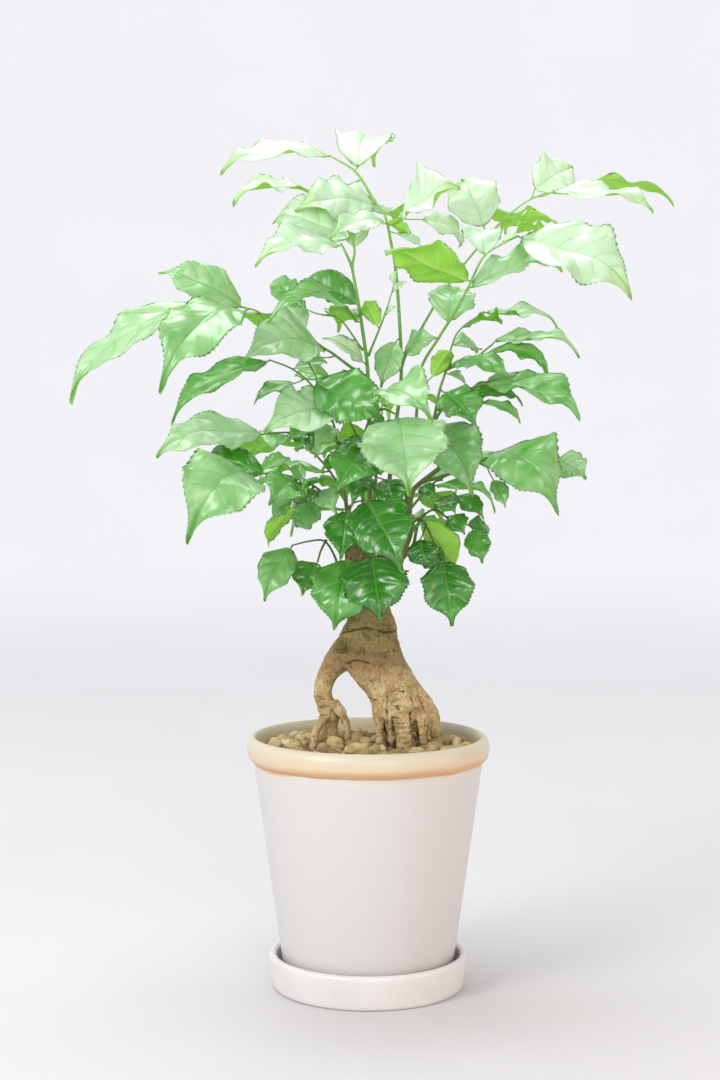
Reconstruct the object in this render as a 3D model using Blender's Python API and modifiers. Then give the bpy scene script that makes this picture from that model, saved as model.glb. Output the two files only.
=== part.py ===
"""A potted heteropanax: a leafy house plant on a swollen, forked trunk, in gravel, in a glazed pot on a saucer.

Metres, +Z up, the origin under the middle of the saucer, and the viewer on the -Y side.
Every length below is in millimetres and every angle in degrees, unless its name says otherwise.
"""

import math
import random

import bmesh
import bpy
from mathutils import Matrix, Vector
from mathutils.bvhtree import BVHTree

MM = 0.001
GAP = 0.3

# Pot and saucer, as radii and heights over the surface
RIM_TOP = 187.5
RIM_CENTRE = (85.0, 178.5)
RIM_BULGE = (5.0, 9.0)
BODY_TOP = (84.9, 168.6)
FOOT = (62.0, 7.3)
FOOT_RING_WIDTH = 10.0
FOOT_RECESS = 2.7
FLOOR = (54.0, 17.0)
INNER_SHOULDER = (78.5, 165.0)
MOUTH = (82.5, 180.0)
DRAIN_RADIUS = 8.0
SAUCER_FOOT_RADIUS = 70.0
SAUCER_RIM = (70.9, 22.9)
SAUCER_RIM_ROUND = 2.9
SAUCER_FLOOR = (64.0, 7.0)
TURN_STEPS = 24

# Soil and gravel
SOIL_TOP = 158.0
GRAVEL_BOTTOM = SOIL_TOP + GAP
GRAVEL_EDGE_TOP = 171.4
GRAVEL_CENTRE_TOP = 176.0
PEBBLES = 38
PEBBLE_SPREAD = 71.0
PEBBLE_LENGTH = (6.0, 8.0)
PEBBLE_WIDTH = (5.2, 6.6)
PEBBLE_HEIGHT = (7.0, 9.0)
PEBBLE_SUNK = 2.5
PEG_BOTTOM = GRAVEL_BOTTOM
PEG_CLEARANCE = 0.4
PEG_HOLE_SIDES = 8
HOLE_TOP = 188.0

# Where the crown was laid out from: leaves and stalks are given as (across, depth, up), across and up on the upright
# plane through the pot's axis as this eye sees it, and they slide along the line of sight to their depth.
EYE_DISTANCE = 1469.0
EYE_ACROSS = -6.1
EYE_UP = 427.0

# Leaves
BLADE_THICKNESS = 1.0
BLADE_FOLD = 0.16
BLADE_WAVE = 0.10
BLADE_WAVES = 1.7
TOOTH_DEPTH = 0.09
DRIP = 0.10
DRIP_START = 0.78
DRAW_START = 0.74
DRAW_RUN = 0.20
DRAW_DEPTH = 0.75
PETIOLE_WIDTH = 1.7
SHORTEST_PETIOLE = 3.0
SHARPEST_BEND = 0.35  # the cosine of the sharpest turn from a small stalk into its blade
CLEARANCE = 0.7
SWING_STEP = 6.0
SWING_STEPS = 9

# The trunk and its roots, as points (x, y, z, radius) along each limb. A root ends in an upright peg on the soil.
TRUNK = [
    (0, 5, 292, 9.5), (1, 5, 284, 13.5), (1.5, 4, 276, 16.5), (2, 4, 267, 19.5), (1, 4, 258, 21.5), (2, 4, 249, 22),
    (7, 4, 239, 21), (13, 4, 229, 19), (19, 4, 219, 19), (25, 4, 209, 20.5), (28, 5, 200, 19), (29, 6, 193, 14),
]
LEFT_LEG = [
    (-4, 3, 257, 16), (-16, 4, 248, 12.5), (-26, 6, 238, 9), (-31.2, 7, 229, 7.2), (-33.4, 8, 221, 6.7),
    (-33.2, 9, 214, 6.7), (-30.5, 10, 207, 7.6), (-28.5, 11, 200, 7.2), (-28, 12, 191, 5.6), (-28, 12, 180, 5),
]
ROOTS = [
    [(12, -2, 214, 8), (10.5, -6, 205, 6), (11.3, -7, 192, 3.6), (10.8, -7, 180, 2.6)],
    [(24, -8, 216, 11), (25, -13, 203, 8.2), (26, -15, 191, 6.3), (26, -15, 180, 5.5)],
    [(38, -6, 214, 6), (40.5, -11, 204, 3.2), (40.5, -11, 192, 2.4), (40.5, -11, 180, 2.2)],
    [(34, 2, 217, 9), (43, 3, 208, 6.6), (47.5, 4, 196, 5.8), (50, 5, 180, 5)],
    [(36, 14, 210, 9), (40, 22, 196, 6), (41, 25, 180, 4.6)],
    [(20, 14, 208, 9), (14, 22, 194, 6), (12, 25, 180, 4.2)],
    [(-29, 8, 205, 5), (-35, 3, 196, 3), (-40, 0, 187, 2.4), (-41, -1, 180, 2.1)],
    [(-25, 8, 208, 4.2), (-17.5, 3, 199, 2.4), (-15, 1, 190, 2.1), (-15, 1, 180, 2.1)],
    [(-29, 14, 205, 5), (-31, 24, 193, 3.6), (-32, 28, 180, 2.8)],
]
KNOBS = [(28, -6, 211, 16), (33, -4, 218, 10), (-8, -5, 262, 14)]
LIMBS = [
    [(0, 3, 284, 9), (0, 1, 305, 6), (1, -1, 336, 4.6)],
    [(5, 8, 282, 8), (9, 10, 305, 5.6), (12, 11, 332, 4.4)],
    [(7, 1, 280, 8), (16, -5, 302, 6.4), (24, -9, 330, 5)],
    [(-5, 0, 280, 8), (-11, -4, 302, 5.6), (-13, -8, 330, 4.6)],
    [(0, 10, 282, 7), (-2, 19, 306, 5.4), (0, 24, 330, 4.6)],
]
TRUNK_RESOLUTION = 3
LEG_RESOLUTION = 2
ROOT_RESOLUTION = 1

# Each leafy stem: its seat on the trunk, as the point inside a limb and the stem's first point; its stalks, as the
# radii at both ends and the points between; and its leaflets, as base, tip, width, face and arch. Face is how far the
# blade is turned from level towards the viewer, below 0 when it shows its underside. Arch is a share of the length.
STEMS = {
    "stem_tall_left": {
        "seat": ((1, -1, 326), (1, -2, 345)),
        "stalks": [
            (2.5, 1.5, [(1, -4, 400), (0, -6, 442), (-1, -8, 462), (-5, -11, 491), (-8, -14, 510), (-12, -16, 532)]),
            (1.1, 0.8, [(-12, -16, 532), (-16, -19, 541), (-20, -22, 549)]),
            (1.1, 0.8, [(-12, -16, 532), (-10, -14, 543), (-12, -12, 552)]),
            (1.3, 0.8, [(0, -7, 451), (-13, -10, 459), (-28, -13, 470), (-43, -16, 478), (-58, -18, 488),
                        (-76, -20, 497), (-90, -21, 502), (-120, -22, 505)]),
            (0.9, 0.8, [(-45, -16, 479), (-45, -32, 466), (-38, -44, 451)]),
            (0.8, 0.7, [(-4, -9, 471), (-18, -20, 491), (-25, -24, 496)]),
            (0.9, 0.7, [(0, -8, 467), (9, -16, 489), (14, -20, 503), (18, -22, 516)]),
        ],
        "leaves": [
            ((-22, -22, 547), (-83, -42, 535), 36, 36, 0.10),
            ((-14, -12, 553), (-70, 4, 564), 40, 55, 0.12),
            ((-11, -14, 546), (-9, 18, 551), 21, -2, 0.20),
            ((-92, -21, 504), (-153, -34, 528), 32, 65, 0.10),
            ((-124, -22, 505), (-220, -46, 434), 35, 36, 0.09),
            ((-96, -24, 500), (-153, -76, 442), 46, 52, 0.17),
            ((-100, -18, 501), (-150, 10, 487), 28, 8, 0.10),
            ((-32, -15, 481), (-93, -50, 464), 44, 50, 0.18),
            ((-8, -15, 492), (-74, -36, 492), 32, 30, 0.26),
            ((-50, -12, 503), (-70, 4, 521), 22, 60, 0.10),
            ((-46, -20, 487), (-66, -36, 505), 22, 52, 0.10),
            ((-9, -9, 505), (-46, 18, 521), 26, 60, 0.10),
            ((-4, -14, 463), (-33, -34, 480), 15, 60, 0.10),
            ((-36, -6, 466), (-54, 6, 476), 14, 60, 0.10),
            ((-38, -43, 448), (12, -66, 417), 42, 62, 0.05),
            ((10, -18, 487), (-3, -28, 507), 14, -55, 0.10),
            ((-80, -18, 499), (-72, 40, 484), 34, -4, 0.10),
            ((-7, -11, 496), (-22, 46, 486), 34, -4, 0.10),
        ],
    },
    "stem_tall_middle": {
        "seat": ((12, 11, 324), (13, 12, 341)),
        "stalks": [
            (2.3, 1.3, [(16, 14, 380), (20, 16, 415), (24, 18, 450), (23, 20, 489), (20, 21, 529), (17, 22, 547),
                        (12, 23, 569), (5, 24, 578)]),
            (1.2, 0.8, [(5, 24, 578), (-9, 25, 600), (-28, 24, 612)]),
            (1.5, 0.8, [(24, 18, 460), (30, 24, 474), (37, 30, 484), (55, 36, 514), (81, 42, 547), (101, 46, 568),
                        (119, 48, 581), (143, 48, 589)]),
        ],
        "leaves": [
            ((-30, 24, 612), (-108, 4, 601), 34, 30, 0.07),
            ((-8, 28, 604), (4, 98, 606), 44, 0, 0.24),
            ((-41, 30, 585), (-99, 16, 578), 30, 24, 0.12),
            ((4, 22, 577), (-53, -8, 573), 42, 60, 0.08),
            ((11, 12, 564), (-28, -8, 553), 24, 50, 0.10),
            ((24, 22, 568), (66, 10, 590), 44, 46, 0.10),
            ((40, 40, 566), (68, 72, 547), 26, 50, 0.10),
            ((20, 16, 477), (9, 2, 444), 21, 68, 0.08),
            ((27, 19, 470), (51, 4, 480), 22, 60, 0.10),
            ((84, 44, 561), (67, 62, 596), 40, 70, 0.08),
            ((121, 48, 588), (149, 62, 604), 34, 70, 0.06),
            ((149, 48, 590), (223, 34, 578), 28, -10, 0.05),
            ((134, 45, 586), (208, 18, 574), 36, 28, 0.01),
            ((93, 43, 561), (140, 24, 562), 24, -18, 0.06),
            ((12, 30, 570), (20, 90, 562), 36, -4, 0.10),
            ((104, 50, 570), (100, 106, 557), 34, -4, 0.10),
        ],
    },
    "stem_tall_right": {
        "seat": ((23, -8, 322), (26, -10, 345)),
        "stalks": [
            (1.9, 1.0, [(30, -12, 380), (35, -14, 420), (38, -15, 456), (52, -18, 481), (64, -21, 500), (74, -24, 519),
                        (84, -27, 539), (97, -30, 548), (109, -33, 554)]),
        ],
        "leaves": [
            ((111, -34, 555), (193, -64, 509), 50, 52, 0.13),
            ((82, -28, 544), (78, 12, 555), 28, -4, 0.16),
            ((77, -26, 520), (12, -54, 543), 38, -38, -0.03),
            ((66, -17, 490), (63, 8, 517), 34, 70, 0.08),
            ((75, -22, 517), (142, -6, 530), 30, 32, 0.12),
            ((47, -18, 452), (61, -32, 471), 15, -60, 0.10),
            ((98, -27, 549), (132, 26, 557), 32, -2, 0.10),
        ],
    },
    "stem_right": {
        "seat": ((22, -8, 318), (29, -13, 334)),
        "stalks": [
            (3.0, 2.0, [(30, -16, 352), (32, -18, 366), (36, -20, 372), (46, -24, 380), (54, -26, 387), (54, -27, 394),
                        (50, -26, 408), (48, -24, 419)]),
            (1.5, 0.8, [(40, -21, 375), (52, -30, 378), (64, -38, 382), (78, -44, 387), (90, -47, 393),
                        (104, -42, 395), (121, -37, 397), (135, -38, 393)]),
            (1.2, 0.8, [(48, -24, 419), (52, -21, 441), (57, -17, 457), (61, -11, 474), (67, -4, 486), (84, 4, 499)]),
            (1.0, 0.8, [(57, -17, 457), (77, -12, 465), (89, -8, 474)]),
            (1.2, 0.8, [(48, -24, 419), (58, -28, 433), (70, -32, 441), (84, -36, 447)]),
        ],
        "leaves": [
            ((86, 5, 500), (139, 16, 487), 27, 16, 0.07),
            ((93, -6, 478), (155, -14, 467), 31, 20, 0.09),
            ((80, -12, 467), (133, -30, 449), 30, 18, 0.22),
            ((58, -18, 461), (104, -46, 451), 30, 32, 0.10),
            ((56, -2, 478), (80, 16, 470), 18, 50, 0.10),
            ((85, -37, 448), (156, -64, 423), 38, 26, 0.09),
            ((62, -34, 442), (114, -16, 432), 22, 30, 0.10),
            ((57, -30, 440), (79, -54, 415), 34, 60, 0.10),
            ((88, -32, 449), (125, -4, 437), 20, 20, 0.10),
            ((84, -28, 433), (112, -14, 418), 16, 28, 0.10),
            ((48, -28, 417), (77, -70, 365), 42, 62, 0.18),
            ((93, -49, 394), (140, -92, 353), 52, 55, 0.30),
            ((138, -39, 391), (160, -50, 377), 25, 55, 0.10),
            ((92, -54, 376), (101, -66, 356), 13, 60, 0.08),
            ((86, 8, 499), (98, 60, 492), 32, -4, 0.10),
        ],
    },
    "stem_right_low": {
        "seat": ((21, -7, 313), (31, -5, 326)),
        "stalks": [
            (1.5, 0.8, [(37, -7, 345), (43, -12, 352), (50, -16, 354), (60, -20, 347), (68, -24, 345), (76, -27, 342)]),
            (0.9, 0.7, [(48, -15, 354), (53, -16, 362), (61, -16, 365)]),
        ],
        "leaves": [
            ((50, -19, 367), (64, -36, 352), 19, 62, 0.10),
            ((63, -16, 365), (85, -30, 347), 17, 45, 0.18),
            ((61, -23, 350), (71, -36, 336), 17, 65, 0.08),
            ((77, -28, 341), (84, -40, 315), 19, 70, 0.08),
            ((73, -24, 344), (89, -12, 338), 17, 45, 0.10),
        ],
    },
    "stem_right_hanging": {
        "seat": ((21, -8, 313), (26, -16, 324)),
        "stalks": [
            (1.4, 0.9, [(30, -22, 340), (38, -27, 348), (44, -33, 340), (49, -37, 328), (53, -39, 319)]),
        ],
        "leaves": [
            ((39, -29, 351), (62, -50, 310), 25, -62, 0.14),
            ((26, -22, 351), (34, -34, 338), 18, -60, 0.10),
            ((38, -29, 332), (43, -24, 311), 24, 70, 0.08),
            ((55, -40, 316), (62, -58, 269), 37, 70, 0.08),
            ((61, -30, 327), (49, -20, 311), 18, 62, 0.10),
        ],
    },
    "stem_front": {
        "seat": ((0, 0, 318), (-2, -9, 331)),
        "stalks": [
            (1.9, 1.0, [(-4, -19, 360), (-4, -32, 398), (0, -44, 418), (10, -55, 428), (21, -62, 424)]),
            (1.0, 0.8, [(-4, -32, 398), (-11, -44, 414), (-18, -50, 426)]),
            (0.9, 0.8, [(-1, -42, 415), (3, -47, 430), (7, -50, 437)]),
        ],
        "leaves": [
            ((22, -64, 421), (30, -104, 366), 62, 64, 0.10),
            ((-20, -54, 428), (-76, -104, 412), 44, 54, 0.13),
            ((11, -52, 440), (47, -84, 420), 38, 54, 0.22),
            ((1, -38, 396), (-24, -70, 368), 40, 58, 0.12),
            ((9, -32, 376), (-12, -62, 358), 26, 58, 0.12),
            ((13, -32, 376), (20, -60, 351), 24, 62, 0.10),
        ],
    },
    "stem_front_low": {
        "seat": ((-12, -6, 318), (-14, -15, 331)),
        "stalks": [
            (1.5, 0.9, [(-15, -24, 345), (-14, -34, 356), (-9, -42, 360), (-3, -46, 361)]),
            (1.2, 0.9, [(-14, -34, 356), (-14, -42, 344), (-10, -48, 330), (-4, -50, 322)]),
        ],
        "leaves": [
            ((-2, -47, 360), (25, -84, 309), 46, 66, 0.10),
            ((-15, -42, 353), (-20, -62, 318), 30, 70, 0.10),
            ((2, -51, 320), (9, -78, 272), 48, 70, 0.10),
            ((-15, -52, 317), (-25, -74, 266), 43, 68, 0.12),
        ],
    },
    "stem_left": {
        "seat": ((-13, -8, 322), (-15, -7, 345)),
        "stalks": [
            (1.7, 0.8, [(-18, -2, 370), (-22, 3, 400), (-28, 6, 425), (-40, 5, 444), (-55, 1, 457), (-72, -5, 464)]),
            (1.0, 0.8, [(-24, 4, 408), (-40, 0, 409), (-60, -6, 411), (-76, -10, 410)]),
            (0.9, 0.8, [(-28, 6, 425), (-16, 8, 438), (-4, 10, 448)]),
        ],
        "leaves": [
            ((-73, -6, 464), (-145, -42, 418), 28, 34, 0.10),
            ((-29, 10, 450), (-54, 26, 453), 17, 50, 0.10),
            ((-3, 10, 448), (-25, 0, 448), 17, 50, 0.10),
            ((-54, 4, 447), (-84, -8, 432), 15, 32, 0.10),
            ((-78, -11, 409), (-156, -38, 395), 38, 44, 0.10),
            ((-38, -2, 414), (-60, -16, 404), 17, 50, 0.16),
            ((-30, 0, 420), (-50, -20, 421), 15, 40, 0.16),
            ((-24, 0, 414), (-40, -26, 399), 18, 60, 0.14),
        ],
    },
    "stem_left_low": {
        "seat": ((-12, -7, 316), (-20, -14, 330)),
        "stalks": [
            (1.6, 0.9, [(-23, -18, 350), (-33, -24, 366), (-46, -30, 375), (-62, -36, 380), (-79, -42, 381)]),
            (0.9, 0.8, [(-30, -22, 361), (-41, -30, 362), (-53, -38, 358)]),
        ],
        "leaves": [
            ((-77, -38, 381), (-127, -16, 384), 32, 40, 0.10),
            ((-86, -46, 378), (-134, -94, 331), 58, 56, 0.34),
            ((-78, -38, 384), (-57, -20, 391), 15, 42, 0.10),
            ((-52, -34, 381), (-73, -62, 359), 30, 60, 0.10),
            ((-56, -36, 362), (-71, -28, 351), 17, 60, 0.10),
            ((-54, -39, 356), (-74, -60, 327), 15, -50, 0.18),
            ((-36, -28, 368), (-24, -52, 352), 20, 62, 0.10),
            ((-38, -29, 367), (-53, -56, 341), 26, 62, 0.10),
            ((-36, -26, 389), (-48, -48, 371), 21, 64, 0.08),
        ],
    },
    "stem_left_hanging": {
        "seat": ((-8, -2, 290), (-19, -3, 302)),
        "stalks": [
            (1.4, 0.8, [(-24, -5, 318), (-32, -9, 331), (-44, -14, 331), (-56, -18, 328)]),
            (0.9, 0.8, [(-31, -9, 332), (-35, -15, 324), (-37, -18, 317)]),
        ],
        "leaves": [
            ((-57, -18, 327), (-77, -40, 287), 27, 58, 0.16),
            ((-37, -18, 316), (-49, -36, 291), 26, 66, 0.08),
        ],
    },
    "stem_back_left": {
        "seat": ((-2, 18, 304), (-6, 30, 318)),
        "stalks": [
            (1.9, 0.9, [(-11, 40, 345), (-24, 60, 376), (-40, 82, 396), (-55, 106, 408)]),
        ],
        "leaves": [
            ((-57, 108, 408), (-88, 154, 386), 42, -20, 0.12),
            ((-48, 92, 403), (-102, 84, 392), 38, 2, 0.10),
            ((-42, 86, 399), (-32, 144, 394), 38, -16, 0.12),
            ((-30, 66, 384), (-84, 50, 368), 36, 6, 0.12),
            ((-24, 60, 376), (-16, 112, 358), 34, -20, 0.12),
            ((-16, 46, 356), (-58, 58, 336), 32, 4, 0.12),
        ],
    },
    "stem_back_middle": {
        "seat": ((0, 23, 322), (3, 30, 342)),
        "stalks": [
            (1.9, 0.9, [(5, 42, 370), (8, 70, 404), (10, 95, 426), (10, 116, 438)]),
        ],
        "leaves": [
            ((10, 118, 438), (15, 178, 422), 44, -20, 0.12),
            ((9, 100, 430), (-42, 128, 430), 38, -6, 0.12),
            ((11, 104, 431), (60, 130, 424), 38, -6, 0.12),
            ((7, 74, 408), (-40, 98, 394), 36, -10, 0.12),
            ((9, 76, 409), (54, 96, 398), 36, -10, 0.12),
            ((5, 46, 375), (0, 96, 352), 32, -24, 0.12),
        ],
    },
    "stem_back_right": {
        "seat": ((4, 14, 296), (13, 22, 312)),
        "stalks": [
            (1.9, 0.9, [(24, 32, 344), (44, 50, 370), (64, 70, 386), (82, 90, 395)]),
        ],
        "leaves": [
            ((83, 91, 395), (122, 134, 372), 42, -16, 0.12),
            ((73, 78, 392), (122, 64, 380), 38, 4, 0.08),
            ((66, 73, 388), (74, 130, 380), 38, -20, 0.12),
            ((48, 53, 374), (94, 40, 354), 36, 6, 0.12),
            ((42, 48, 368), (54, 98, 344), 34, -20, 0.12),
            ((28, 35, 350), (62, 44, 332), 32, 2, 0.12),
        ],
    },
}


def clear_scene():
    for old in list(bpy.data.objects):
        bpy.data.objects.remove(old)


def collection(name):
    made = bpy.data.collections.new(name)
    bpy.context.scene.collection.children.link(made)
    return made


def material(name, colour, roughness, metallic=0.0):
    """A Principled BSDF of this colour, given as an sRGB hex value."""
    shares = [int(colour[i : i + 2], 16) / 255 for i in (1, 3, 5)]
    linear = [c / 12.92 if c <= 0.04045 else ((c + 0.055) / 1.055) ** 2.4 for c in shares]
    made = bpy.data.materials.new(name)
    made.use_nodes = True
    shader = made.node_tree.nodes["Principled BSDF"]
    shader.inputs["Base Color"].default_value = (*linear, 1.0)
    shader.inputs["Roughness"].default_value = roughness
    shader.inputs["Metallic"].default_value = metallic
    return made


def new_object(name, mesh, home):
    made = bpy.data.objects.new(name, mesh)
    home.objects.link(made)
    return made


def evaluated_mesh(thing):
    graph = bpy.context.evaluated_depsgraph_get()
    return bpy.data.meshes.new_from_object(thing.evaluated_get(graph))


def arc(centre, radii, start, end, steps):
    """Points along an ellipse's arc, as (radius, height)."""
    angles = [math.radians(start + (end - start) * i / steps) for i in range(steps + 1)]
    return [(centre[0] + radii[0] * math.cos(a), centre[1] + radii[1] * math.sin(a)) for a in angles]


def turned(name, profile, home, closed=False):
    """A profile of (radius, height) points, which runs down its outer side, turned about the pot's axis."""
    mesh = bpy.data.meshes.new(name)
    edges = [(i, i + 1) for i in range(len(profile) - 1)]
    if closed:
        edges.append((len(profile) - 1, 0))
    mesh.from_pydata([(r * MM, 0, z * MM) for r, z in profile], edges, [])
    made = new_object(name, mesh, home)
    screw = made.modifiers.new("turn", "SCREW")
    screw.steps = TURN_STEPS
    screw.render_steps = TURN_STEPS
    screw.use_merge_vertices = True
    screw.merge_threshold = 0.00001
    return made


def finish(thing, finish_material):
    """The object's modifiers applied, its one material set, and its round faces shaded smooth."""
    mesh = evaluated_mesh(thing)
    thing.modifiers.clear()
    thing.data = mesh
    mesh.name = thing.name
    mesh.materials.clear()
    mesh.materials.append(finish_material)
    mesh.shade_smooth()
    mesh.set_sharp_from_angle(angle=math.radians(35))
    return thing


def boolean(thing, operation, others, solver="EXACT"):
    modifier = thing.modifiers.new(operation.lower(), "BOOLEAN")
    modifier.operation = operation
    modifier.operand_type = "COLLECTION"
    modifier.collection = others
    modifier.solver = solver


def drop_scraps(mesh):
    """Every loose scrap that a union left beside its main body is removed."""
    shape = bmesh.new()
    shape.from_mesh(mesh)
    bodies = []
    waiting = set(shape.faces)
    while waiting:
        body = [waiting.pop()]
        for face in body:
            beside = {other for edge in face.edges if edge.is_manifold for other in edge.link_faces} & waiting
            waiting -= beside
            body.extend(beside)
        bodies.append(body)
    bodies.sort(key=len)
    for body in bodies[:-1]:
        bmesh.ops.delete(shape, geom=body, context="FACES")
    shape.to_mesh(mesh)
    shape.free()


def empty_out(others):
    """The pieces that a union has taken in are removed, with their collection."""
    for piece in list(others.objects):
        bpy.data.objects.remove(piece)
    bpy.data.collections.remove(others)


def pot_profile():
    rim = arc(RIM_CENTRE, RIM_BULGE, 90, -70, 5)
    foot_radius, foot_height = FOOT
    ring = foot_radius - FOOT_RING_WIDTH
    recess = foot_height + FOOT_RECESS
    return [
        *rim,
        BODY_TOP,
        (foot_radius + 0.3, foot_height + 1.5),
        (foot_radius - 0.8, foot_height),
        (ring, foot_height),
        (ring - 1.5, recess),
        (DRAIN_RADIUS, recess),
        (DRAIN_RADIUS, FLOOR[1]),
        FLOOR,
        (FLOOR[0] + 2.5, FLOOR[1] + 2.5),
        INNER_SHOULDER,
        MOUTH,
        (MOUTH[0] + 0.6, RIM_TOP - 1.5),
    ]


def saucer_profile():
    rim = arc(SAUCER_RIM, (SAUCER_RIM_ROUND, SAUCER_RIM_ROUND), 180, 0, 4)
    return [
        (0, SAUCER_FLOOR[1]),
        SAUCER_FLOOR,
        (SAUCER_FLOOR[0] + 2, SAUCER_FLOOR[1] + 2),
        *rim,
        (SAUCER_FOOT_RADIUS + 1.2, 2.5),
        (SAUCER_FOOT_RADIUS - 1, 0),
        (0, 0),
    ]


def inner_radius(height):
    """The pot's inner radius, less the gap that its filling keeps."""
    steps = [(FLOOR[0], FLOOR[1]), (FLOOR[0] + 2.5, FLOOR[1] + 2.5), INNER_SHOULDER, MOUTH]
    for (r0, z0), (r1, z1) in zip(steps, steps[1:]):
        if height <= z1:
            return r0 + (r1 - r0) * (height - z0) / (z1 - z0) - 1.4 * GAP
    return steps[-1][0]


def soil_profile():
    bottom = FLOOR[1] + GAP
    return [
        (0, SOIL_TOP),
        (inner_radius(SOIL_TOP), SOIL_TOP),
        (inner_radius(FLOOR[1] + 2.5), FLOOR[1] + 2.5),
        (FLOOR[0] - 0.4, bottom),
        (0, bottom),
    ]


def gravel_profile():
    return [
        (0, GRAVEL_CENTRE_TOP),
        (inner_radius(GRAVEL_EDGE_TOP), GRAVEL_EDGE_TOP),
        (inner_radius(INNER_SHOULDER[1]), INNER_SHOULDER[1]),
        (inner_radius(GRAVEL_BOTTOM), GRAVEL_BOTTOM),
        (0, GRAVEL_BOTTOM),
    ]


def on_sight_line(point):
    """The place in metres of a point given as (across, depth, up), slid along the line of sight to its depth."""
    across, depth, up = point
    spread = (EYE_DISTANCE + depth) / EYE_DISTANCE
    x = EYE_ACROSS + (across - EYE_ACROSS) * spread
    z = EYE_UP + (up - EYE_UP) * spread
    return Vector((x, depth, z)) * MM


def tube(name, points, radii, resolution, home):
    """A tube through the points, in metres, as a round-bevelled curve made a mesh with its caps welded on."""
    curve = bpy.data.curves.new(name, "CURVE")
    curve.dimensions = "3D"
    curve.bevel_depth = MM
    curve.bevel_resolution = resolution
    curve.use_fill_caps = True
    spline = curve.splines.new("POLY")
    spline.points.add(len(points) - 1)
    for knot, point, radius in zip(spline.points, points, radii):
        knot.co = (*point, 1.0)
        knot.radius = radius
    guide = new_object(name, curve, home)
    mesh = evaluated_mesh(guide)
    bpy.data.objects.remove(guide)
    shape = bmesh.new()
    shape.from_mesh(mesh)
    bmesh.ops.remove_doubles(shape, verts=shape.verts, dist=1e-6)
    bmesh.ops.recalc_face_normals(shape, faces=shape.faces)
    shape.to_mesh(mesh)
    shape.free()
    return new_object(name, mesh, home)


def graded(radii, count):
    """Radii from the first to the last in even steps."""
    return [radii[0] + (radii[1] - radii[0]) * i / max(1, count - 1) for i in range(count)]


def limb(points, resolution, home, peg=False):
    """A woody tube through points (x, y, z, radius). With a peg it goes straight down through the gravel."""
    places = [Vector(p[:3]) * MM for p in points]
    radii = [p[3] for p in points]
    if peg:
        places.append(Vector((places[-1].x, places[-1].y, PEG_BOTTOM * MM)))
        radii.append(radii[-1])
    return tube("limb", places, radii, resolution, home)


def knob(point, home):
    x, y, z, radius = point
    shape = bmesh.new()
    place = Matrix.Translation(Vector((x, y, z)) * MM)
    bmesh.ops.create_icosphere(shape, subdivisions=1, radius=radius * MM, matrix=place)
    mesh = bpy.data.meshes.new("knob")
    shape.to_mesh(mesh)
    shape.free()
    return new_object("knob", mesh, home)


def pegs():
    """Every place where a root goes down into the gravel, as (x, y, radius)."""
    ends = [root[-1] for root in ROOTS] + [LEFT_LEG[-1]]
    return [(x, y, radius) for x, y, _, radius in ends]


def peg_holes(home):
    """Upright cutters right through the gravel, whose flat sides clear the pegs."""
    bottom = GRAVEL_BOTTOM - 2
    for x, y, radius in pegs():
        corner = (radius + PEG_CLEARANCE) / math.cos(math.pi / PEG_HOLE_SIDES) * MM
        shape = bmesh.new()
        bmesh.ops.create_cone(
            shape,
            cap_ends=True,
            segments=PEG_HOLE_SIDES,
            radius1=corner,
            radius2=corner,
            depth=(HOLE_TOP - bottom) * MM,
            matrix=Matrix.Translation(Vector((x, y, (HOLE_TOP + bottom) / 2)) * MM),
        )
        mesh = bpy.data.meshes.new("peg_hole")
        shape.to_mesh(mesh)
        shape.free()
        hole = new_object("peg_hole", mesh, home)
        hole.hide_render = True
        hole.display_type = "WIRE"


def pebbles(home):
    """Blunt turned stones on a sunflower spiral, part sunk in the gravel, none where a root comes down."""
    draw = random.Random(7)
    for i in range(PEBBLES):
        away = PEBBLE_SPREAD * math.sqrt((i + 0.5) / PEBBLES)
        turn = i * math.pi * (3 - math.sqrt(5))
        x, y = away * math.cos(turn), away * math.sin(turn)
        size = Vector((draw.uniform(*PEBBLE_LENGTH), draw.uniform(*PEBBLE_WIDTH), draw.uniform(*PEBBLE_HEIGHT)))
        spin = Matrix.Rotation(draw.uniform(0, math.tau), 4, "Z") @ Matrix.Rotation(draw.uniform(-0.2, 0.2), 4, "X")
        if any(math.hypot(x - px, y - py) < radius + size.x + 0.8 for px, py, radius in pegs()):
            continue
        share = away / inner_radius(GRAVEL_EDGE_TOP)
        top = GRAVEL_CENTRE_TOP + (GRAVEL_EDGE_TOP - GRAVEL_CENTRE_TOP) * share
        place = Matrix.Translation(Vector((x, y, top + size.z / 2 - PEBBLE_SUNK)) * MM)
        shape = bmesh.new()
        bmesh.ops.create_cone(
            shape,
            cap_ends=True,
            segments=5,
            radius1=MM,
            radius2=0.6 * MM,
            depth=MM,
            matrix=place @ spin @ Matrix.Diagonal((*size, 1)),
        )
        mesh = bpy.data.meshes.new("pebble")
        shape.to_mesh(mesh)
        shape.free()
        new_object("pebble", mesh, home)


def edge_points(width):
    """How many points a leaf of this width has along each edge."""
    return 9 if width >= 44 else 7 if width >= 34 else 5 if width >= 14 else 3


def rib_points(width):
    return 2 if width >= 34 else 1


def outline(t):
    """Half-width of a leaf at the share t of its length, where its widest place is 1: oval, drawn in to a drip tip."""
    body = math.sin(math.pi * t**0.85) ** 0.72
    drawn_in = min(1, max(0, (t - DRAW_START) / DRAW_RUN))
    return body * (1 - DRAW_DEPTH * drawn_in * drawn_in * (3 - 2 * drawn_in))


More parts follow.
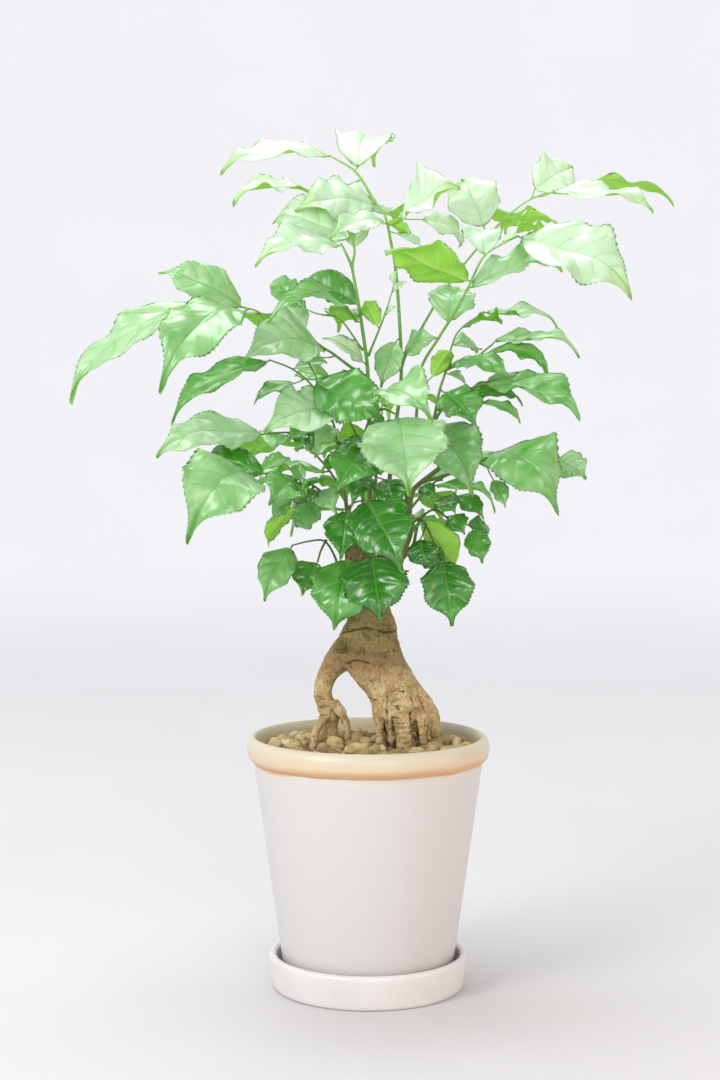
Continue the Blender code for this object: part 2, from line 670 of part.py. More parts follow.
def nearest_on(stalks, place):
    """The point of the stalks' centre lines that is nearest to the place."""
    best = None
    for points, _ in stalks:
        for a, b in zip(points, points[1:]):
            run = b - a
            share = min(1, max(0, (place - a).dot(run) / run.length_squared))
            near = a + run * share
            if best is None or (near - place).length < (best - place).length:
                best = near
    return best


class Leaf:
    """One leaf, from its row, a number that its waves are drawn from and the stalks that it grows on."""

    def __init__(self, row, number, stalks):
        base, tip, self.width, face, self.arch = row
        self.base, self.tip = on_sight_line(base), on_sight_line(tip)
        ahead = (self.tip - self.base).normalized()
        reach = (self.base - nearest_on(stalks, self.base)).length
        self.root = nearest_on(stalks, self.base - ahead * reach)
        run = self.base - self.root
        if run.length < SHORTEST_PETIOLE * MM or run.normalized().dot(ahead) < SHARPEST_BEND:
            self.base = self.root + (self.tip - self.root).normalized() * SHORTEST_PETIOLE * MM
        self.along = self.tip - self.base
        self.length = self.along.length
        self.along.normalize()
        turn = math.radians(face)
        lean = Vector((0, -math.sin(turn), math.cos(turn)))
        self.up = (lean - self.along * lean.dot(self.along)).normalized()
        self.side = self.along.cross(self.up)
        self.phase = random.Random(number).uniform(0, 1)

    def point(self, t, across):
        """A point of the blade: t from base to tip, across from -1 to 1 between the edges."""
        half = self.width / 2 * MM * outline(t)
        wave = BLADE_WAVE * math.sin(math.tau * (BLADE_WAVES * t + self.phase) + across) * across * across
        drip = DRIP * (t - (max(0, t - DRIP_START) / (1 - DRIP_START)) ** 2)
        rise = self.length * (self.arch * 4 * t * (1 - t) + drip) + half * (BLADE_FOLD * abs(across) + wave)
        return self.base + self.along * (t * self.length) + self.side * (half * across) + self.up * rise

    def surface(self):
        """The leaf's points and triangles: its small stalk, and a blade with saw-toothed edges about a few rib points."""
        half = self.side * (PETIOLE_WIDTH / 2 * MM)
        run = (self.base - self.root).normalized()
        root_half = (self.side - run * self.side.dot(run)).normalized() * half.length
        points = [self.root - root_half, self.root + root_half, self.base - half, self.base + half]
        faces = [(0, 1, 3), (0, 3, 2)]
        ribs = rib_points(self.width)
        middle = [((k + 1) / (ribs + 1), len(points) + k) for k in range(ribs)] + [(1.0, len(points) + ribs)]
        points += [self.point(t, 0) for t, _ in middle]
        faces.append((2, 3, middle[0][1]))
        for side in (-1, 1):
            edge = [(0.0, 2 if side < 0 else 3)]
            for k in range(edge_points(self.width)):
                crest = k % 2 == 0
                t = (k + 0.75 + 0.22 * crest) / (edge_points(self.width) + 0.7)
                edge.append((t, len(points)))
                points.append(self.point(t, side * (1 + TOOTH_DEPTH * (0.5 if crest else -1))))
            edge.append(middle[-1])
            faces += strip(middle, edge, side)
        return points, faces


def strip(middle, edge, side):
    """Triangles between two rows of (t, index) that end in the same point."""
    faces, i, j = [], 0, 0
    while i < len(middle) - 1 or j < len(edge) - 1:
        step_out = i == len(middle) - 1 or (j < len(edge) - 1 and edge[j + 1][0] <= middle[i + 1][0])
        third = edge[j + 1][1] if step_out else middle[i + 1][1]
        face = (middle[i][1], edge[j][1], third)
        i, j = (i, j + 1) if step_out else (i + 1, j)
        if len(set(face)) == 3:
            faces.append(face if side > 0 else face[::-1])
    return faces


def stalks_of(stem):
    """The stem's stalks as lists of points in metres with their radii; the first starts straight from the seat."""
    inside, seat = (on_sight_line(p) for p in stem["seat"])
    straight = seat + (seat - inside).normalized() * 4 * MM
    made = []
    for start, end, places in stem["stalks"]:
        points = [on_sight_line(p) for p in places]
        if not made:
            points = [seat, straight, *points]
        made.append((points, graded((start, end), len(points))))
    return made


def beads(points, radii):
    """A tube as round beads (place, radius) about every 3 mm, to measure distances from."""
    made = []
    for a, b, r0, r1 in zip(points, points[1:], radii, radii[1:]):
        steps = max(1, int((b - a).length / (3 * MM)))
        made += [(a.lerp(b, i / steps), (r0 + (r1 - r0) * i / steps) * MM) for i in range(steps + 1)]
    return made


class Piece:
    """A blade or a set of tubes that leaves of other stems stay clear of."""

    def __init__(self, stem, points=None, faces=None, tubes=None):
        self.stem = stem
        self.points = points or []
        self.tree = BVHTree.FromPolygons(points, faces) if faces else None
        self.beads = tubes or []
        places = self.points + [place for place, _ in self.beads]
        self.low = Vector([min(p[i] for p in places) for i in range(3)])
        self.high = Vector([max(p[i] for p in places) for i in range(3)])

    def near(self, other):
        reach = 3 * MM
        return all(self.low[i] < other.high[i] + reach and other.low[i] < self.high[i] + reach for i in range(3))

    def touches(self, other):
        between_blades = (BLADE_THICKNESS + CLEARANCE) * MM
        between_blade_and_tube = (BLADE_THICKNESS / 2 + CLEARANCE) * MM
        if self.tree and other.tree:
            if self.tree.overlap(other.tree):
                return True
            if any(other.tree.find_nearest(p, between_blades)[0] for p in self.points):
                return True
            if any(self.tree.find_nearest(p, between_blades)[0] for p in other.points):
                return True
        for blade, line in ((self, other), (other, self)):
            if blade.tree:
                if any(blade.tree.find_nearest(p, r + between_blade_and_tube)[0] for p, r in line.beads):
                    return True
        return any(
            (p - q).length < r + s + CLEARANCE * MM for p, r in self.beads for q, s in other.beads
        )


def leaf_pieces(stem_name, leaf):
    """The blade and its small stalk, as pieces to measure from."""
    points, faces = leaf.surface()
    stalk = beads([leaf.root, leaf.base], [PETIOLE_WIDTH / 2] * 2)
    return [Piece(stem_name, points, faces), Piece(stem_name, tubes=stalk)]


def swings():
    """How far a leaf's tip and base move in depth while it looks for a clear place, the smallest moves first."""
    moves = [(0, 0)]
    for step in range(1, SWING_STEPS + 1):
        for sign in (-1, 1):
            moves.append((sign * step * SWING_STEP, 0))
            moves.append((sign * step * SWING_STEP, sign * step * SWING_STEP / 2))
    return moves


def settled(stem_name, row, number, stalks, pieces):
    """The leaf bent clear: swung in depth until it and its stalk touch no other stem and, if it can, no leaf at all."""
    fallback = None
    for tip_move, base_move in swings():
        base, tip, width, face, arch = row
        moved = ((base[0], base[1] + base_move, base[2]), (tip[0], tip[1] + tip_move, tip[2]), width, face, arch)
        leaf = Leaf(moved, number, stalks)
        blade, stalk = leaf_pieces(stem_name, leaf)
        others = [p for p in pieces if (p.near(blade) or p.near(stalk))]
        strangers = [p for p in others if p.stem != stem_name]
        if any(blade.touches(p) or stalk.touches(p) for p in strangers):
            continue
        siblings = [p for p in others if p.stem == stem_name and p.tree]
        if not any(blade.touches(p) for p in siblings):
            return leaf, [blade, stalk]
        fallback = fallback or (leaf, [blade, stalk])
    return fallback or (None, [])


def crown():
    """Every stem's stalks and its settled leaves, by the stem's name."""
    stalks = {name: stalks_of(stem) for name, stem in STEMS.items()}
    pieces = [Piece(name, tubes=beads(*line)) for name, lines in stalks.items() for line in lines]
    for points in LIMBS + [TRUNK]:
        pieces.append(Piece("trunk", tubes=beads([Vector(p[:3]) * MM for p in points], [p[3] for p in points])))
    leaves = {name: [] for name in STEMS}
    number = 0
    for name, stem in STEMS.items():
        for row in stem["leaves"]:
            number += 1
            leaf, made = settled(name, row, number, stalks[name], pieces)
            if leaf is None:
                continue
            leaves[name].append(leaf)
            pieces += made
    return stalks, leaves


def blade_object(leaf, home):
    """The blade's surface with its thickness, split into triangles alike on both faces."""
    points, faces = leaf.surface()
    mesh = bpy.data.meshes.new("blade")
    mesh.from_pydata(points, [], faces)
    made = new_object("blade", mesh, home)
    thicken = made.modifiers.new("thickness", "SOLIDIFY")
    thicken.thickness = BLADE_THICKNESS * MM
    thicken.offset = 0
    return made


def leafy_stem(name, stalks, leaves, home, finish_material):
    parts = collection(name + "_parts")
    points, radii = stalks[0]
    stem = tube(name, points, radii, 1, home)
    for points, radii in stalks[1:]:
        tube("stalk", points, radii, 0, parts)
    for leaf in leaves:
        blade_object(leaf, parts)
    boolean(stem, "UNION", parts)
    finish(stem, finish_material)
    drop_scraps(stem.data)
    empty_out(parts)
    return stem


def trunk(home, finish_material):
    parts = collection("trunk_parts")
    body = limb(TRUNK, TRUNK_RESOLUTION, home)
    body.name = "trunk"
    limb(LEFT_LEG, LEG_RESOLUTION, parts, peg=True)
    for root in ROOTS:
        limb(root, ROOT_RESOLUTION, parts, peg=True)
    for point in KNOBS:
        knob(point, parts)
    for points in LIMBS:
        limb(points, ROOT_RESOLUTION, parts)
    for stem in STEMS.values():
        inside, seat = (on_sight_line(p) for p in stem["seat"])
        face = seat - (seat - inside).normalized() * GAP * MM
        radius = stem["stalks"][0][0]
        tube("spur", [inside, face], [radius * 1.3, radius * 1.15], 0, parts)
    boolean(body, "UNION", parts)
    finish(body, finish_material)
    empty_out(parts)
    return body


def build():
    clear_scene()
    home = collection("potted_heteropanax")
    cutters = collection("cutters")

    glaze = material("white_glaze", "#F1EFEA", 0.35)
    earth = material("potting_soil", "#3A2C20", 0.95)
    stone = material("tan_gravel", "#A08A68", 0.85)
    bark = material("tan_bark", "#8E7A55", 0.9)
    leaf_green = material("leaf_green", "#4F8B3F", 0.4)

    finish(turned("saucer", saucer_profile(), home), glaze)
    finish(turned("pot", pot_profile(), home, closed=True), glaze)

    finish(turned("soil", soil_profile(), home), earth)

    gravel = turned("gravel", gravel_profile(), home)
    stones = collection("stones")
    pebbles(stones)
    boolean(gravel, "UNION", stones)
    finish(gravel, stone)
    empty_out(stones)
    peg_holes(cutters)
    boolean(gravel, "DIFFERENCE", cutters)
    finish(gravel, stone)

    trunk(home, bark)
    stalks, leaves = crown()
    for name in STEMS:
        leafy_stem(name, stalks[name], leaves[name], home, leaf_green)


build()
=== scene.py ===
"""The looks of a potted heteropanax: glossy toothed leaves, corky trunk, pebbles, glazed pot and saucer.

Metres, +Z up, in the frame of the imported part. Lengths are in millimetres where a name or a comment says so.
"""

import math
import random

import bmesh
import bpy
import numpy as np
from mathutils import Matrix, Vector, noise
from mathutils.bvhtree import BVHTree


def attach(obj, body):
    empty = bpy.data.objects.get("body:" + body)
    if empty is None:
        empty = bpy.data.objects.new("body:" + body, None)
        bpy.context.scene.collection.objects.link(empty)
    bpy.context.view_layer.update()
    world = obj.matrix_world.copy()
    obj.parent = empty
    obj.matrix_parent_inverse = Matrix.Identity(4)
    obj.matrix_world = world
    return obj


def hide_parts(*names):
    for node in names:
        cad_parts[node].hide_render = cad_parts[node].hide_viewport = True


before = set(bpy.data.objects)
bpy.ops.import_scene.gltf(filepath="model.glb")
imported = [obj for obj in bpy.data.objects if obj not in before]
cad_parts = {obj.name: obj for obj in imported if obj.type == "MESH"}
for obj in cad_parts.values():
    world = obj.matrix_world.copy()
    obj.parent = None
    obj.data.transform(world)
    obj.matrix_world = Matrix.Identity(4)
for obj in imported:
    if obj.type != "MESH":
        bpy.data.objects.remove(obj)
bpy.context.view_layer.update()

MM = 0.001

# Camera: place in metres, degrees that it looks down, lens and sensor in millimetres
EYE = (-0.0061, -1.469, 0.427)
EYE_PITCH = 3.7
LENS = 66.67
SENSOR = 36.0

# Pot and saucer in millimetres, as in the solids: radii and heights over the surface
RIM_CENTRE = (85.0, 178.5)
RIM_BULGE = (5.0, 9.0)
BODY_TOP = (84.9, 168.6)
FOOT = (62.0, 7.3)
FOOT_RING_WIDTH = 10.0
FOOT_RECESS = 2.7
FLOOR = (54.0, 17.0)
INNER_SHOULDER = (78.5, 165.0)
MOUTH = (82.5, 180.0)
DRAIN_RADIUS = 8.0
SAUCER_FOOT_RADIUS = 70.0
SAUCER_RIM = (70.9, 22.9)
SAUCER_RIM_ROUND = 2.9
SAUCER_FLOOR = (64.0, 7.0)
TURN_STEPS = 128

# How far pot and saucer are out of round, as shares of their radius
POT_WOBBLE = 0.0012
SAUCER_WOBBLE = 0.0008

# Gravel, in millimetres: the solids' levels, then the bed of grit
SOIL_TOP = 158.0
GRAVEL_EDGE_TOP = 171.4
GRAVEL_CENTRE_TOP = 176.0
BED_TOP = 170.0
BED_BOTTOM = 165.5
BED_RADIUS = MOUTH[0] - 1.0
BED_RINGS = 26
BED_SPOKES = 96

# Pebbles: half-sizes in millimetres, layers as the number of pebbles and their lift over the gravel's level,
# how often a free place is looked for, flat sides on each, and the share of small ones and their size
PEBBLE_SIZES = [(5.4, 8.6), (4.4, 6.4), (3.6, 5.2)]
PEBBLE_LAYERS = [(170, 2.2), (130, 6.8)]
PEBBLE_TRIES = 12
PEBBLE_FLATS = 7
SMALL_PEBBLES = 0.3
SMALL_SIZE = 0.7

# The leaves' layout in millimetres, as in the solids: across and up are on the upright plane through the
# pot's axis, as the eye sees them
EYE_DISTANCE = 1469.0
EYE_ACROSS = -6.1
EYE_UP = 427.0
SHORTEST_PETIOLE = 3.0
SHARPEST_BEND = 0.35
SWING_STEP = 6.0
SWING_STEPS = 9
SOLID_BLADE = 1.0
CLEARANCE = 0.7
PETIOLE_WIDTH = 1.7
TOOTH_DEPTH = 0.09
BLADE_FOLD = 0.16
BLADE_WAVE = 0.10
BLADE_WAVES = 1.7
DRIP = 0.10
DRIP_START = 0.78
DRAW_START = 0.74
DRAW_RUN = 0.20
DRAW_DEPTH = 0.75

# The trunk and its roots, as in the solids: points (x, y, z, radius) in millimetres along each limb
TRUNK = [
    (0, 5, 292, 9.5), (1, 5, 284, 13.5), (1.5, 4, 276, 16.5), (2, 4, 267, 19.5), (1, 4, 258, 21.5),
    (2, 4, 249, 22), (7, 4, 239, 21), (13, 4, 229, 19), (19, 4, 219, 19), (25, 4, 209, 20.5),
    (28, 5, 200, 19), (29, 6, 193, 14),
]
LEFT_LEG = [
    (-4, 3, 257, 16), (-16, 4, 248, 12.5), (-26, 6, 238, 9), (-31.2, 7, 229, 7.2), (-33.4, 8, 221, 6.7),
    (-33.2, 9, 214, 6.7), (-30.5, 10, 207, 7.6), (-28.5, 11, 200, 7.2), (-28, 12, 191, 5.6),
    (-28, 12, 180, 5),
]
ROOTS = [
    [(12, -2, 214, 8), (10.5, -6, 205, 6), (11.3, -7, 192, 3.6), (10.8, -7, 180, 2.6)],
    [(24, -8, 216, 11), (25, -13, 203, 8.2), (26, -15, 191, 6.3), (26, -15, 180, 5.5)],
    [(38, -6, 214, 6), (40.5, -11, 204, 3.2), (40.5, -11, 192, 2.4), (40.5, -11, 180, 2.2)],
    [(34, 2, 217, 9), (43, 3, 208, 6.6), (47.5, 4, 196, 5.8), (50, 5, 180, 5)],
    [(36, 14, 210, 9), (40, 22, 196, 6), (41, 25, 180, 4.6)],
    [(20, 14, 208, 9), (14, 22, 194, 6), (12, 25, 180, 4.2)],
    [(-29, 8, 205, 5), (-35, 3, 196, 3), (-40, 0, 187, 2.4), (-41, -1, 180, 2.1)],
    [(-25, 8, 208, 4.2), (-17.5, 3, 199, 2.4), (-15, 1, 190, 2.1), (-15, 1, 180, 2.1)],
    [(-29, 14, 205, 5), (-31, 24, 193, 3.6), (-32, 28, 180, 2.8)],
]
KNOBS = [(28, -6, 211, 16), (33, -4, 218, 10), (-8, -5, 262, 14)]
LIMBS = [
    [(0, 3, 284, 9), (0, 1, 305, 6), (1, -1, 336, 4.6)],
    [(5, 8, 282, 8), (9, 10, 305, 5.6), (12, 11, 332, 4.4)],
    [(7, 1, 280, 8), (16, -5, 302, 6.4), (24, -9, 330, 5)],
    [(-5, 0, 280, 8), (-11, -4, 302, 5.6), (-13, -8, 330, 4.6)],
    [(0, 10, 282, 7), (-2, 19, 306, 5.4), (0, 24, 330, 4.6)],
]

# Each leafy stem: its seat on the trunk, as the point inside a limb and the stem's first point; its stalks,
# as the radii at both ends and the points between; and its leaflets, as base, tip, width, face and arch.
# Face is how far the blade is turned from level towards the viewer in degrees, below 0 when it shows its
# underside. Arch is a share of the length.
STEMS = {
    "stem_tall_left": {
        "seat": ((1, -1, 326), (1, -2, 345)),
        "stalks": [
            (2.5, 1.5, [(1, -4, 400), (0, -6, 442), (-1, -8, 462), (-5, -11, 491), (-8, -14, 510),
                        (-12, -16, 532)]),
            (1.1, 0.8, [(-12, -16, 532), (-16, -19, 541), (-20, -22, 549)]),
            (1.1, 0.8, [(-12, -16, 532), (-10, -14, 543), (-12, -12, 552)]),
            (1.3, 0.8, [(0, -7, 451), (-13, -10, 459), (-28, -13, 470), (-43, -16, 478), (-58, -18, 488),
                        (-76, -20, 497), (-90, -21, 502), (-120, -22, 505)]),
            (0.9, 0.8, [(-45, -16, 479), (-45, -32, 466), (-38, -44, 451)]),
            (0.8, 0.7, [(-4, -9, 471), (-18, -20, 491), (-25, -24, 496)]),
            (0.9, 0.7, [(0, -8, 467), (9, -16, 489), (14, -20, 503), (18, -22, 516)]),
        ],
        "leaves": [
            ((-22, -22, 547), (-83, -42, 535), 36, 36, 0.10),
            ((-14, -12, 553), (-70, 4, 564), 40, 55, 0.12),
            ((-11, -14, 546), (-9, 18, 551), 21, -2, 0.20),
            ((-92, -21, 504), (-153, -34, 528), 32, 65, 0.10),
            ((-124, -22, 505), (-220, -46, 434), 35, 36, 0.09),
            ((-96, -24, 500), (-153, -76, 442), 46, 52, 0.17),
            ((-100, -18, 501), (-150, 10, 487), 28, 8, 0.10),
            ((-32, -15, 481), (-93, -50, 464), 44, 50, 0.18),
            ((-8, -15, 492), (-74, -36, 492), 32, 30, 0.26),
            ((-50, -12, 503), (-70, 4, 521), 22, 60, 0.10),
            ((-46, -20, 487), (-66, -36, 505), 22, 52, 0.10),
            ((-9, -9, 505), (-46, 18, 521), 26, 60, 0.10),
            ((-4, -14, 463), (-33, -34, 480), 15, 60, 0.10),
            ((-36, -6, 466), (-54, 6, 476), 14, 60, 0.10),
            ((-38, -43, 448), (12, -66, 417), 42, 62, 0.05),
            ((10, -18, 487), (-3, -28, 507), 14, -55, 0.10),
            ((-80, -18, 499), (-72, 40, 484), 34, -4, 0.10),
            ((-7, -11, 496), (-22, 46, 486), 34, -4, 0.10),
        ],
    },
    "stem_tall_middle": {
        "seat": ((12, 11, 324), (13, 12, 341)),
        "stalks": [
            (2.3, 1.3, [(16, 14, 380), (20, 16, 415), (24, 18, 450), (23, 20, 489), (20, 21, 529),
                        (17, 22, 547), (12, 23, 569), (5, 24, 578)]),
            (1.2, 0.8, [(5, 24, 578), (-9, 25, 600), (-28, 24, 612)]),
            (1.5, 0.8, [(24, 18, 460), (30, 24, 474), (37, 30, 484), (55, 36, 514), (81, 42, 547),
                        (101, 46, 568), (119, 48, 581), (143, 48, 589)]),
        ],
        "leaves": [
            ((-30, 24, 612), (-108, 4, 601), 34, 30, 0.07),
            ((-8, 28, 604), (4, 98, 606), 44, 0, 0.24),
            ((-41, 30, 585), (-99, 16, 578), 30, 24, 0.12),
            ((4, 22, 577), (-53, -8, 573), 42, 60, 0.08),
            ((11, 12, 564), (-28, -8, 553), 24, 50, 0.10),
            ((24, 22, 568), (66, 10, 590), 44, 46, 0.10),
            ((40, 40, 566), (68, 72, 547), 26, 50, 0.10),
            ((20, 16, 477), (9, 2, 444), 21, 68, 0.08),
            ((27, 19, 470), (51, 4, 480), 22, 60, 0.10),
            ((84, 44, 561), (67, 62, 596), 40, 70, 0.08),
            ((121, 48, 588), (149, 62, 604), 34, 70, 0.06),
            ((149, 48, 590), (223, 34, 578), 28, -10, 0.05),
            ((134, 45, 586), (208, 18, 574), 36, 28, 0.01),
            ((93, 43, 561), (140, 24, 562), 24, -18, 0.06),
            ((12, 30, 570), (20, 90, 562), 36, -4, 0.10),
            ((104, 50, 570), (100, 106, 557), 34, -4, 0.10),
        ],
    },
    "stem_tall_right": {
        "seat": ((23, -8, 322), (26, -10, 345)),
        "stalks": [
            (1.9, 1.0, [(30, -12, 380), (35, -14, 420), (38, -15, 456), (52, -18, 481), (64, -21, 500),
                        (74, -24, 519), (84, -27, 539), (97, -30, 548), (109, -33, 554)]),
        ],
        "leaves": [
            ((111, -34, 555), (193, -64, 509), 50, 52, 0.13),
            ((82, -28, 544), (78, 12, 555), 28, -4, 0.16),
            ((77, -26, 520), (12, -54, 543), 38, -38, -0.03),
            ((66, -17, 490), (63, 8, 517), 34, 70, 0.08),
            ((75, -22, 517), (142, -6, 530), 30, 32, 0.12),
            ((47, -18, 452), (61, -32, 471), 15, -60, 0.10),
            ((98, -27, 549), (132, 26, 557), 32, -2, 0.10),
        ],
    },
    "stem_right": {
        "seat": ((22, -8, 318), (29, -13, 334)),
        "stalks": [
            (3.0, 2.0, [(30, -16, 352), (32, -18, 366), (36, -20, 372), (46, -24, 380), (54, -26, 387),
                        (54, -27, 394), (50, -26, 408), (48, -24, 419)]),
            (1.5, 0.8, [(40, -21, 375), (52, -30, 378), (64, -38, 382), (78, -44, 387), (90, -47, 393),
                        (104, -42, 395), (121, -37, 397), (135, -38, 393)]),
            (1.2, 0.8, [(48, -24, 419), (52, -21, 441), (57, -17, 457), (61, -11, 474), (67, -4, 486),
                        (84, 4, 499)]),
            (1.0, 0.8, [(57, -17, 457), (77, -12, 465), (89, -8, 474)]),
            (1.2, 0.8, [(48, -24, 419), (58, -28, 433), (70, -32, 441), (84, -36, 447)]),
        ],
        "leaves": [
            ((86, 5, 500), (139, 16, 487), 27, 16, 0.07),
            ((93, -6, 478), (155, -14, 467), 31, 20, 0.09),
            ((80, -12, 467), (133, -30, 449), 30, 18, 0.22),
            ((58, -18, 461), (104, -46, 451), 30, 32, 0.10),
            ((56, -2, 478), (80, 16, 470), 18, 50, 0.10),
            ((85, -37, 448), (156, -64, 423), 38, 26, 0.09),
            ((62, -34, 442), (114, -16, 432), 22, 30, 0.10),
            ((57, -30, 440), (79, -54, 415), 34, 60, 0.10),
            ((88, -32, 449), (125, -4, 437), 20, 20, 0.10),
            ((84, -28, 433), (112, -14, 418), 16, 28, 0.10),
            ((48, -28, 417), (77, -70, 365), 42, 62, 0.18),
            ((93, -49, 394), (140, -92, 353), 52, 55, 0.30),
            ((138, -39, 391), (160, -50, 377), 25, 55, 0.10),
            ((92, -54, 376), (101, -66, 356), 13, 60, 0.08),
            ((86, 8, 499), (98, 60, 492), 32, -4, 0.10),
        ],
    },
    "stem_right_low": {
        "seat": ((21, -7, 313), (31, -5, 326)),
        "stalks": [
            (1.5, 0.8, [(37, -7, 345), (43, -12, 352), (50, -16, 354), (60, -20, 347), (68, -24, 345),
                        (76, -27, 342)]),
            (0.9, 0.7, [(48, -15, 354), (53, -16, 362), (61, -16, 365)]),
        ],
        "leaves": [
            ((50, -19, 367), (64, -36, 352), 19, 62, 0.10),
            ((63, -16, 365), (85, -30, 347), 17, 45, 0.18),
            ((61, -23, 350), (71, -36, 336), 17, 65, 0.08),
            ((77, -28, 341), (84, -40, 315), 19, 70, 0.08),
            ((73, -24, 344), (89, -12, 338), 17, 45, 0.10),
        ],
    },
    "stem_right_hanging": {
        "seat": ((21, -8, 313), (26, -16, 324)),
        "stalks": [
            (1.4, 0.9, [(30, -22, 340), (38, -27, 348), (44, -33, 340), (49, -37, 328), (53, -39, 319)]),
        ],
        "leaves": [
            ((39, -29, 351), (62, -50, 310), 25, -62, 0.14),
            ((26, -22, 351), (34, -34, 338), 18, -60, 0.10),
            ((38, -29, 332), (43, -24, 311), 24, 70, 0.08),
            ((55, -40, 316), (62, -58, 269), 37, 70, 0.08),
            ((61, -30, 327), (49, -20, 311), 18, 62, 0.10),
        ],
    },
    "stem_front": {
        "seat": ((0, 0, 318), (-2, -9, 331)),
        "stalks": [
            (1.9, 1.0, [(-4, -19, 360), (-4, -32, 398), (0, -44, 418), (10, -55, 428), (21, -62, 424)]),
            (1.0, 0.8, [(-4, -32, 398), (-11, -44, 414), (-18, -50, 426)]),
            (0.9, 0.8, [(-1, -42, 415), (3, -47, 430), (7, -50, 437)]),
        ],
        "leaves": [
            ((22, -64, 421), (30, -104, 366), 62, 64, 0.10),
            ((-20, -54, 428), (-76, -104, 412), 44, 54, 0.13),
            ((11, -52, 440), (47, -84, 420), 38, 54, 0.22),
            ((1, -38, 396), (-24, -70, 368), 40, 58, 0.12),
            ((9, -32, 376), (-12, -62, 358), 26, 58, 0.12),
            ((13, -32, 376), (20, -60, 351), 24, 62, 0.10),
        ],
    },
    "stem_front_low": {
        "seat": ((-12, -6, 318), (-14, -15, 331)),
        "stalks": [
            (1.5, 0.9, [(-15, -24, 345), (-14, -34, 356), (-9, -42, 360), (-3, -46, 361)]),
            (1.2, 0.9, [(-14, -34, 356), (-14, -42, 344), (-10, -48, 330), (-4, -50, 322)]),
        ],
        "leaves": [
            ((-2, -47, 360), (25, -84, 309), 46, 66, 0.10),
            ((-15, -42, 353), (-20, -62, 318), 30, 70, 0.10),
            ((2, -51, 320), (9, -78, 272), 48, 70, 0.10),
            ((-15, -52, 317), (-25, -74, 266), 43, 68, 0.12),
        ],
    },
    "stem_left": {
        "seat": ((-13, -8, 322), (-15, -7, 345)),
        "stalks": [
            (1.7, 0.8, [(-18, -2, 370), (-22, 3, 400), (-28, 6, 425), (-40, 5, 444), (-55, 1, 457),
                        (-72, -5, 464)]),
            (1.0, 0.8, [(-24, 4, 408), (-40, 0, 409), (-60, -6, 411), (-76, -10, 410)]),
            (0.9, 0.8, [(-28, 6, 425), (-16, 8, 438), (-4, 10, 448)]),
        ],
        "leaves": [
            ((-73, -6, 464), (-145, -42, 418), 28, 34, 0.10),
            ((-29, 10, 450), (-54, 26, 453), 17, 50, 0.10),
            ((-3, 10, 448), (-25, 0, 448), 17, 50, 0.10),
            ((-54, 4, 447), (-84, -8, 432), 15, 32, 0.10),
            ((-78, -11, 409), (-156, -38, 395), 38, 44, 0.10),
            ((-38, -2, 414), (-60, -16, 404), 17, 50, 0.16),
            ((-30, 0, 420), (-50, -20, 421), 15, 40, 0.16),
            ((-24, 0, 414), (-40, -26, 399), 18, 60, 0.14),
        ],
    },
    "stem_left_low": {
        "seat": ((-12, -7, 316), (-20, -14, 330)),
        "stalks": [
            (1.6, 0.9, [(-23, -18, 350), (-33, -24, 366), (-46, -30, 375), (-62, -36, 380), (-79, -42, 381)]),
            (0.9, 0.8, [(-30, -22, 361), (-41, -30, 362), (-53, -38, 358)]),
        ],
        "leaves": [
            ((-77, -38, 381), (-127, -16, 384), 32, 40, 0.10),
            ((-86, -46, 378), (-134, -94, 331), 58, 56, 0.34),
            ((-78, -38, 384), (-57, -20, 391), 15, 42, 0.10),
            ((-52, -34, 381), (-73, -62, 359), 30, 60, 0.10),
            ((-56, -36, 362), (-71, -28, 351), 17, 60, 0.10),
            ((-54, -39, 356), (-74, -60, 327), 15, -50, 0.18),
            ((-36, -28, 368), (-24, -52, 352), 20, 62, 0.10),
            ((-38, -29, 367), (-53, -56, 341), 26, 62, 0.10),
            ((-36, -26, 389), (-48, -48, 371), 21, 64, 0.08),
        ],
    },
    "stem_left_hanging": {
        "seat": ((-8, -2, 290), (-19, -3, 302)),
        "stalks": [
            (1.4, 0.8, [(-24, -5, 318), (-32, -9, 331), (-44, -14, 331), (-56, -18, 328)]),
            (0.9, 0.8, [(-31, -9, 332), (-35, -15, 324), (-37, -18, 317)]),
        ],
        "leaves": [
            ((-57, -18, 327), (-77, -40, 287), 27, 58, 0.16),
            ((-37, -18, 316), (-49, -36, 291), 26, 66, 0.08),
        ],
    },
    "stem_back_left": {
        "seat": ((-2, 18, 304), (-6, 30, 318)),
        "stalks": [
            (1.9, 0.9, [(-11, 40, 345), (-24, 60, 376), (-40, 82, 396), (-55, 106, 408)]),
        ],
        "leaves": [
            ((-57, 108, 408), (-88, 154, 386), 42, -20, 0.12),
            ((-48, 92, 403), (-102, 84, 392), 38, 2, 0.10),
            ((-42, 86, 399), (-32, 144, 394), 38, -16, 0.12),
            ((-30, 66, 384), (-84, 50, 368), 36, 6, 0.12),
            ((-24, 60, 376), (-16, 112, 358), 34, -20, 0.12),
            ((-16, 46, 356), (-58, 58, 336), 32, 4, 0.12),
        ],
    },
    "stem_back_middle": {
        "seat": ((0, 23, 322), (3, 30, 342)),
        "stalks": [
            (1.9, 0.9, [(5, 42, 370), (8, 70, 404), (10, 95, 426), (10, 116, 438)]),
        ],
        "leaves": [
            ((10, 118, 438), (15, 178, 422), 44, -20, 0.12),
            ((9, 100, 430), (-42, 128, 430), 38, -6, 0.12),
            ((11, 104, 431), (60, 130, 424), 38, -6, 0.12),
            ((7, 74, 408), (-40, 98, 394), 36, -10, 0.12),
            ((9, 76, 409), (54, 96, 398), 36, -10, 0.12),
            ((5, 46, 375), (0, 96, 352), 32, -24, 0.12),
        ],
    },
    "stem_back_right": {
        "seat": ((4, 14, 296), (13, 22, 312)),
        "stalks": [
            (1.9, 0.9, [(24, 32, 344), (44, 50, 370), (64, 70, 386), (82, 90, 395)]),
        ],
